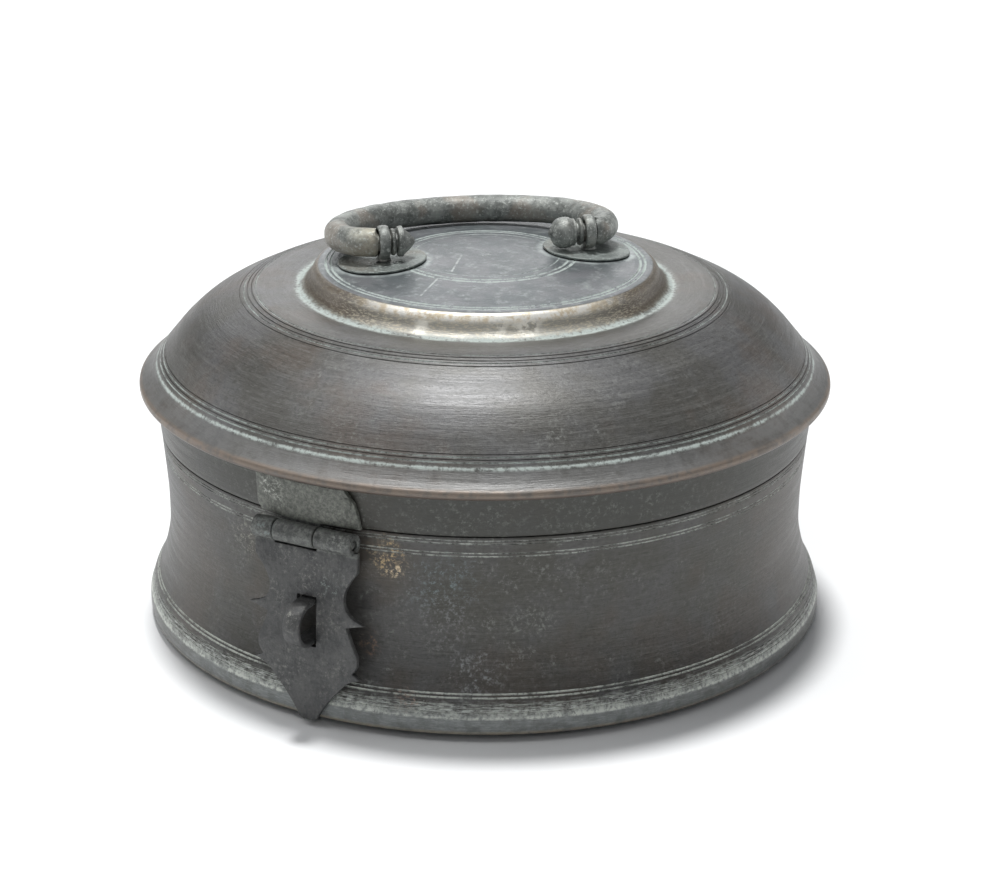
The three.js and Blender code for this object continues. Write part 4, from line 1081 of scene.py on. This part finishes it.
def hasp():
    """The hanging plate with its scalloped sides, its slot and the two outer knuckles."""
    edge = lines_joined(HASP_EDGE[:2], smooth_line(HASP_EDGE[1:8], per_span=4), HASP_EDGE[8:9],
                        smooth_line(HASP_EDGE[8:13], per_span=4), smooth_line(HASP_EDGE[13:], per_span=4))
    lean = HASP_LEAN / HASP_LENGTH
    right = [(across + lean * down, -down) for down, across in edge]
    left = [(-across + lean * down, -down) for down, across in edge]
    start, end = KNUCKLE_FROM - SEAT_GAP, KNUCKLE_TO + SEAT_GAP
    room = [(start, -HASP_TOP), (start, -HASP_ROOM_FOOT), (end, -HASP_ROOM_FOOT), (end, -HASP_TOP)]
    outline = np.array(room + right + left[::-1])[::-1]
    half, top, foot = SLOT_WIDTH / 2, -SLOT_TOP, -SLOT_TOP - SLOT_LENGTH
    slot = [(SLOT_X - half, top), (SLOT_X + half, top), (SLOT_X + half, foot), (SLOT_X - half, foot)]
    plate = sheet([outline, slot], HASP_SHEET, hasp_place, soft=0.2)
    ends = [knuckle(a, b, lambda x, out, up: hasp_place(x, up, out), seam=190) for a, b in
            ((-LEAF_HALF_WIDTH, start), (end, LEAF_HALF_WIDTH - KNUCKLE_SHORT))]
    points, faces = together(plate, *ends)
    new_piece("hasp_drop", uneven(points, size=9, reach=0.12, seed=3), faces, "hasp", HASP,
              ["hasp_plate"])


def staple():
    """A strip bent to a bow that stands out through the slot, its ends turned up and down at the wall."""
    half, thick = STAPLE_HEIGHT / 2, STAPLE_SHEET / 2
    mid, back = half - thick, STAPLE_SEAT - thick
    bow = HASP_FACE + STAPLE_REACH - STAPLE_INSET - half
    upper = [(back, half + up) for up in STAPLE_TAIL]
    upper += [(back + STAPLE_BEND[0], mid + STAPLE_BEND[1]), (back + STAPLE_ARM_FROM, mid),
              (bow - STAPLE_ARM_TO, mid)]
    arc = [(bow + mid * sin(a), mid * cos(a)) for a in STAPLE_TURNS]
    line = np.array(upper + arc + [(out, -up) for out, up in upper[::-1]])
    ways = np.gradient(line, axis=0)
    ways /= np.linalg.norm(ways, axis=1)[:, None]
    wide, soft = STAPLE_WIDTH / 2, STAPLE_SOFT
    section = [(-wide + soft, -thick), (wide - soft, -thick), (wide, -thick + soft), (wide, thick - soft),
               (wide - soft, thick), (-wide + soft, thick), (-wide, thick - soft), (-wide, -thick + soft)]
    points, rows = [], []
    for (out, up), way in zip(line, ways):
        rows.append([len(points) + n for n in range(len(section))])
        points += [Vector((SLOT_X + a, -out + b * way[1], STAPLE_MIDDLE + up + b * way[0]))
                   for a, b in section]
    faces = skin(rows) + [rows[0][::-1], rows[-1]]
    new_piece("staple_loop", uneven(points, size=4, reach=0.08, seed=7), faces, "base", HASP,
              ["hasp_staple"], sharp=50)


def pin(name, side, body, rides):
    place = at_barrel(side)
    tip = PIN_INSET - LEAF_HALF_WIDTH
    ends = [(tip + into, radius) for into, radius in PIN_END]
    stations = [(place(x, 0, 0), (1, 0, 0), radius) for x, radius in ends + [(-x, r) for x, r in ends[::-1]]]
    points, faces = rod(stations, PIN_SIDES)
    if side < 0:
        faces = [face[::-1] for face in faces]
    new_piece(name + "_wire", points, faces, body, HASP, [rides])


def rivet(name, body, line, wall, side, x, height):
    """A rivet hammered almost flush outside, with an upset tail inside."""
    place = on_wall(line, side)
    middle = Vector(place(x, height, 0))
    way = (Vector(place(x, height, 1)) - middle).normalized()
    out, tail = LEAF_SHEET / 2, -LEAF_SHEET / 2 - SEAT_GAP - wall
    spots = [(tail + along, radius) for along, radius in RIVET_TAIL]
    spots += [(out + along, radius) for along, radius in RIVET_HEAD]
    points, faces = rod([(middle + along * way, way, radius) for along, radius in spots], RIVET_SIDES)
    new_piece(name + "_head", uneven(points, size=2, reach=0.1, seed=x + height), faces, body,
              HASP, [name], sharp=50)


base_shell()
lid_shell()
bail()
for side, x in (("left", -EYELET_SPREAD), ("right", EYELET_SPREAD)):
    pad("pad_" + side, x, x)
    eyelet("eyelet_" + side, x, x)
lid_leaf("hasp_lid_leaf_skin", "hasp_lid_leaf", side=1, lean=5.6, swell=1.4)
lid_leaf("hinge_lid_leaf_skin", "hinge_lid_leaf", side=-1, lean=0, swell=0)
body_leaf()
hasp()
staple()
pin("hasp_pin", 1, "lid", "hasp_pin")
pin("hinge_pin", -1, "base", "hinge_pin")
for name, body, line, wall, side, height in (
        ("hasp_rivet_", "lid", SKIRT, SKIRT_SHEET, 1, LID_RIVET),
        ("hinge_lid_rivet_", "lid", SKIRT, SKIRT_SHEET, -1, LID_RIVET),
        ("hinge_body_rivet_", "base", WALL, SHEET, -1, BODY_RIVET)):
    rivet(name + "left", body, line, wall, side, -RIVET_SPREAD, height)
    rivet(name + "right", body, line, wall, side, RIVET_SPREAD, height)


# Floor, light and camera

# In metres. A light's row is its name, its place to the right of, behind and above the box as the camera
# sees it, the height that it aims at, its size and its power
FLOOR_REACH = 40.0
FLOOR_TONES = ((0.93, 0.94, 0.945), (0.95, 0.955, 0.96))
LIGHTS = (("left_top_light", (-1.05, -0.15, 1.75), 0.1, (0.9, 0.9), 6.5),
          ("top_light", (0, -0.45, 1.8), 0.1, (0.8, 0.8), 1.3),
          ("front_light", (-0.2, -1.9, 1.4), 0.08, (1.1, 0.8), 3.2),
          ("back_light", (-0.15, 2, 0.85), 0.1, (1.5, 0.8), 8),
          ("left_light", (-2, 0.7, 0.5), 0.05, (0.9, 0.9), 4.5),
          ("right_light", (1.9, 1, 0.5), 0.05, (0.7, 0.9), 3.5))
KEY_WAY = (-0.04, 0.17, 1)
KEY_POWER = 2.6
KEY_ANGLE = 9
CAMERA_CLIP = (0.05, 20)
SKY = (0.93, 0.96, 1, 1)
SKY_STRENGTH = 0.16


def floor():
    data = bpy.data.meshes.new("floor")
    corners = [(x * FLOOR_REACH, y * FLOOR_REACH, 0) for x, y in ((-1, -1), (1, -1), (1, 1), (-1, 1))]
    data.from_pydata(corners, [], [(0, 1, 2, 3)])
    piece = linked("floor", data)
    p = Paint("pale_floor")
    grain = p.noise(p.place, FLOOR_CLOUDS)
    p.colour = p.mix(p.ramp(grain, 0.3, 0.7), *FLOOR_TONES)
    p.finish(0, 0.9, p.bump(grain, 0.01))
    data.materials.append(p.material)


def soft_light(name, place, aim, size, power):
    data = bpy.data.lights.new(name, "AREA")
    data.shape, data.size, data.size_y = "RECTANGLE", size[0], size[1]
    data.energy = power
    light = linked(name, data)
    light.location = place
    light.rotation_euler = (Vector(aim) - Vector(place)).to_track_quat("-Z", "Y").to_euler()


def toward(right, away, up):
    """A direction in the room, seen from the camera's side of the box."""
    return Matrix.Rotation(radians(CAMERA_AZIMUTH), 3, "Z") @ Vector((right, away, up))


def key_light():
    data = bpy.data.lights.new("key_light", "SUN")
    data.energy, data.angle = KEY_POWER, radians(KEY_ANGLE)
    light = linked("key_light", data)
    light.rotation_euler = toward(*KEY_WAY).to_track_quat("Z", "Y").to_euler()


def camera():
    data = bpy.data.cameras.new("camera")
    data.lens, data.sensor_width = CAMERA_LENS, SENSOR
    data.clip_start, data.clip_end = CAMERA_CLIP
    eye = linked("camera", data)
    eye.matrix_world = (Matrix.Translation(Vector(CAMERA_PLACE) * MM)
                        @ Matrix.Rotation(radians(CAMERA_AZIMUTH), 4, "Z")
                        @ Matrix.Rotation(radians(CAMERA_TILT), 4, "X")
                        @ Matrix.Rotation(radians(CAMERA_ROLL), 4, "Z"))
    bpy.context.scene.camera = eye


def world():
    made = bpy.data.worlds.new("studio")
    made.use_nodes = True
    sky = made.node_tree.nodes["Background"].inputs
    sky[0].default_value, sky[1].default_value = SKY, SKY_STRENGTH
    bpy.context.scene.world = made
    bpy.context.scene.view_settings.view_transform = "Standard"


floor()
camera()
world()
key_light()
for name, place, aim_height, size, power in LIGHTS:
    soft_light(name, toward(*place), (0, 0, aim_height), size, power)
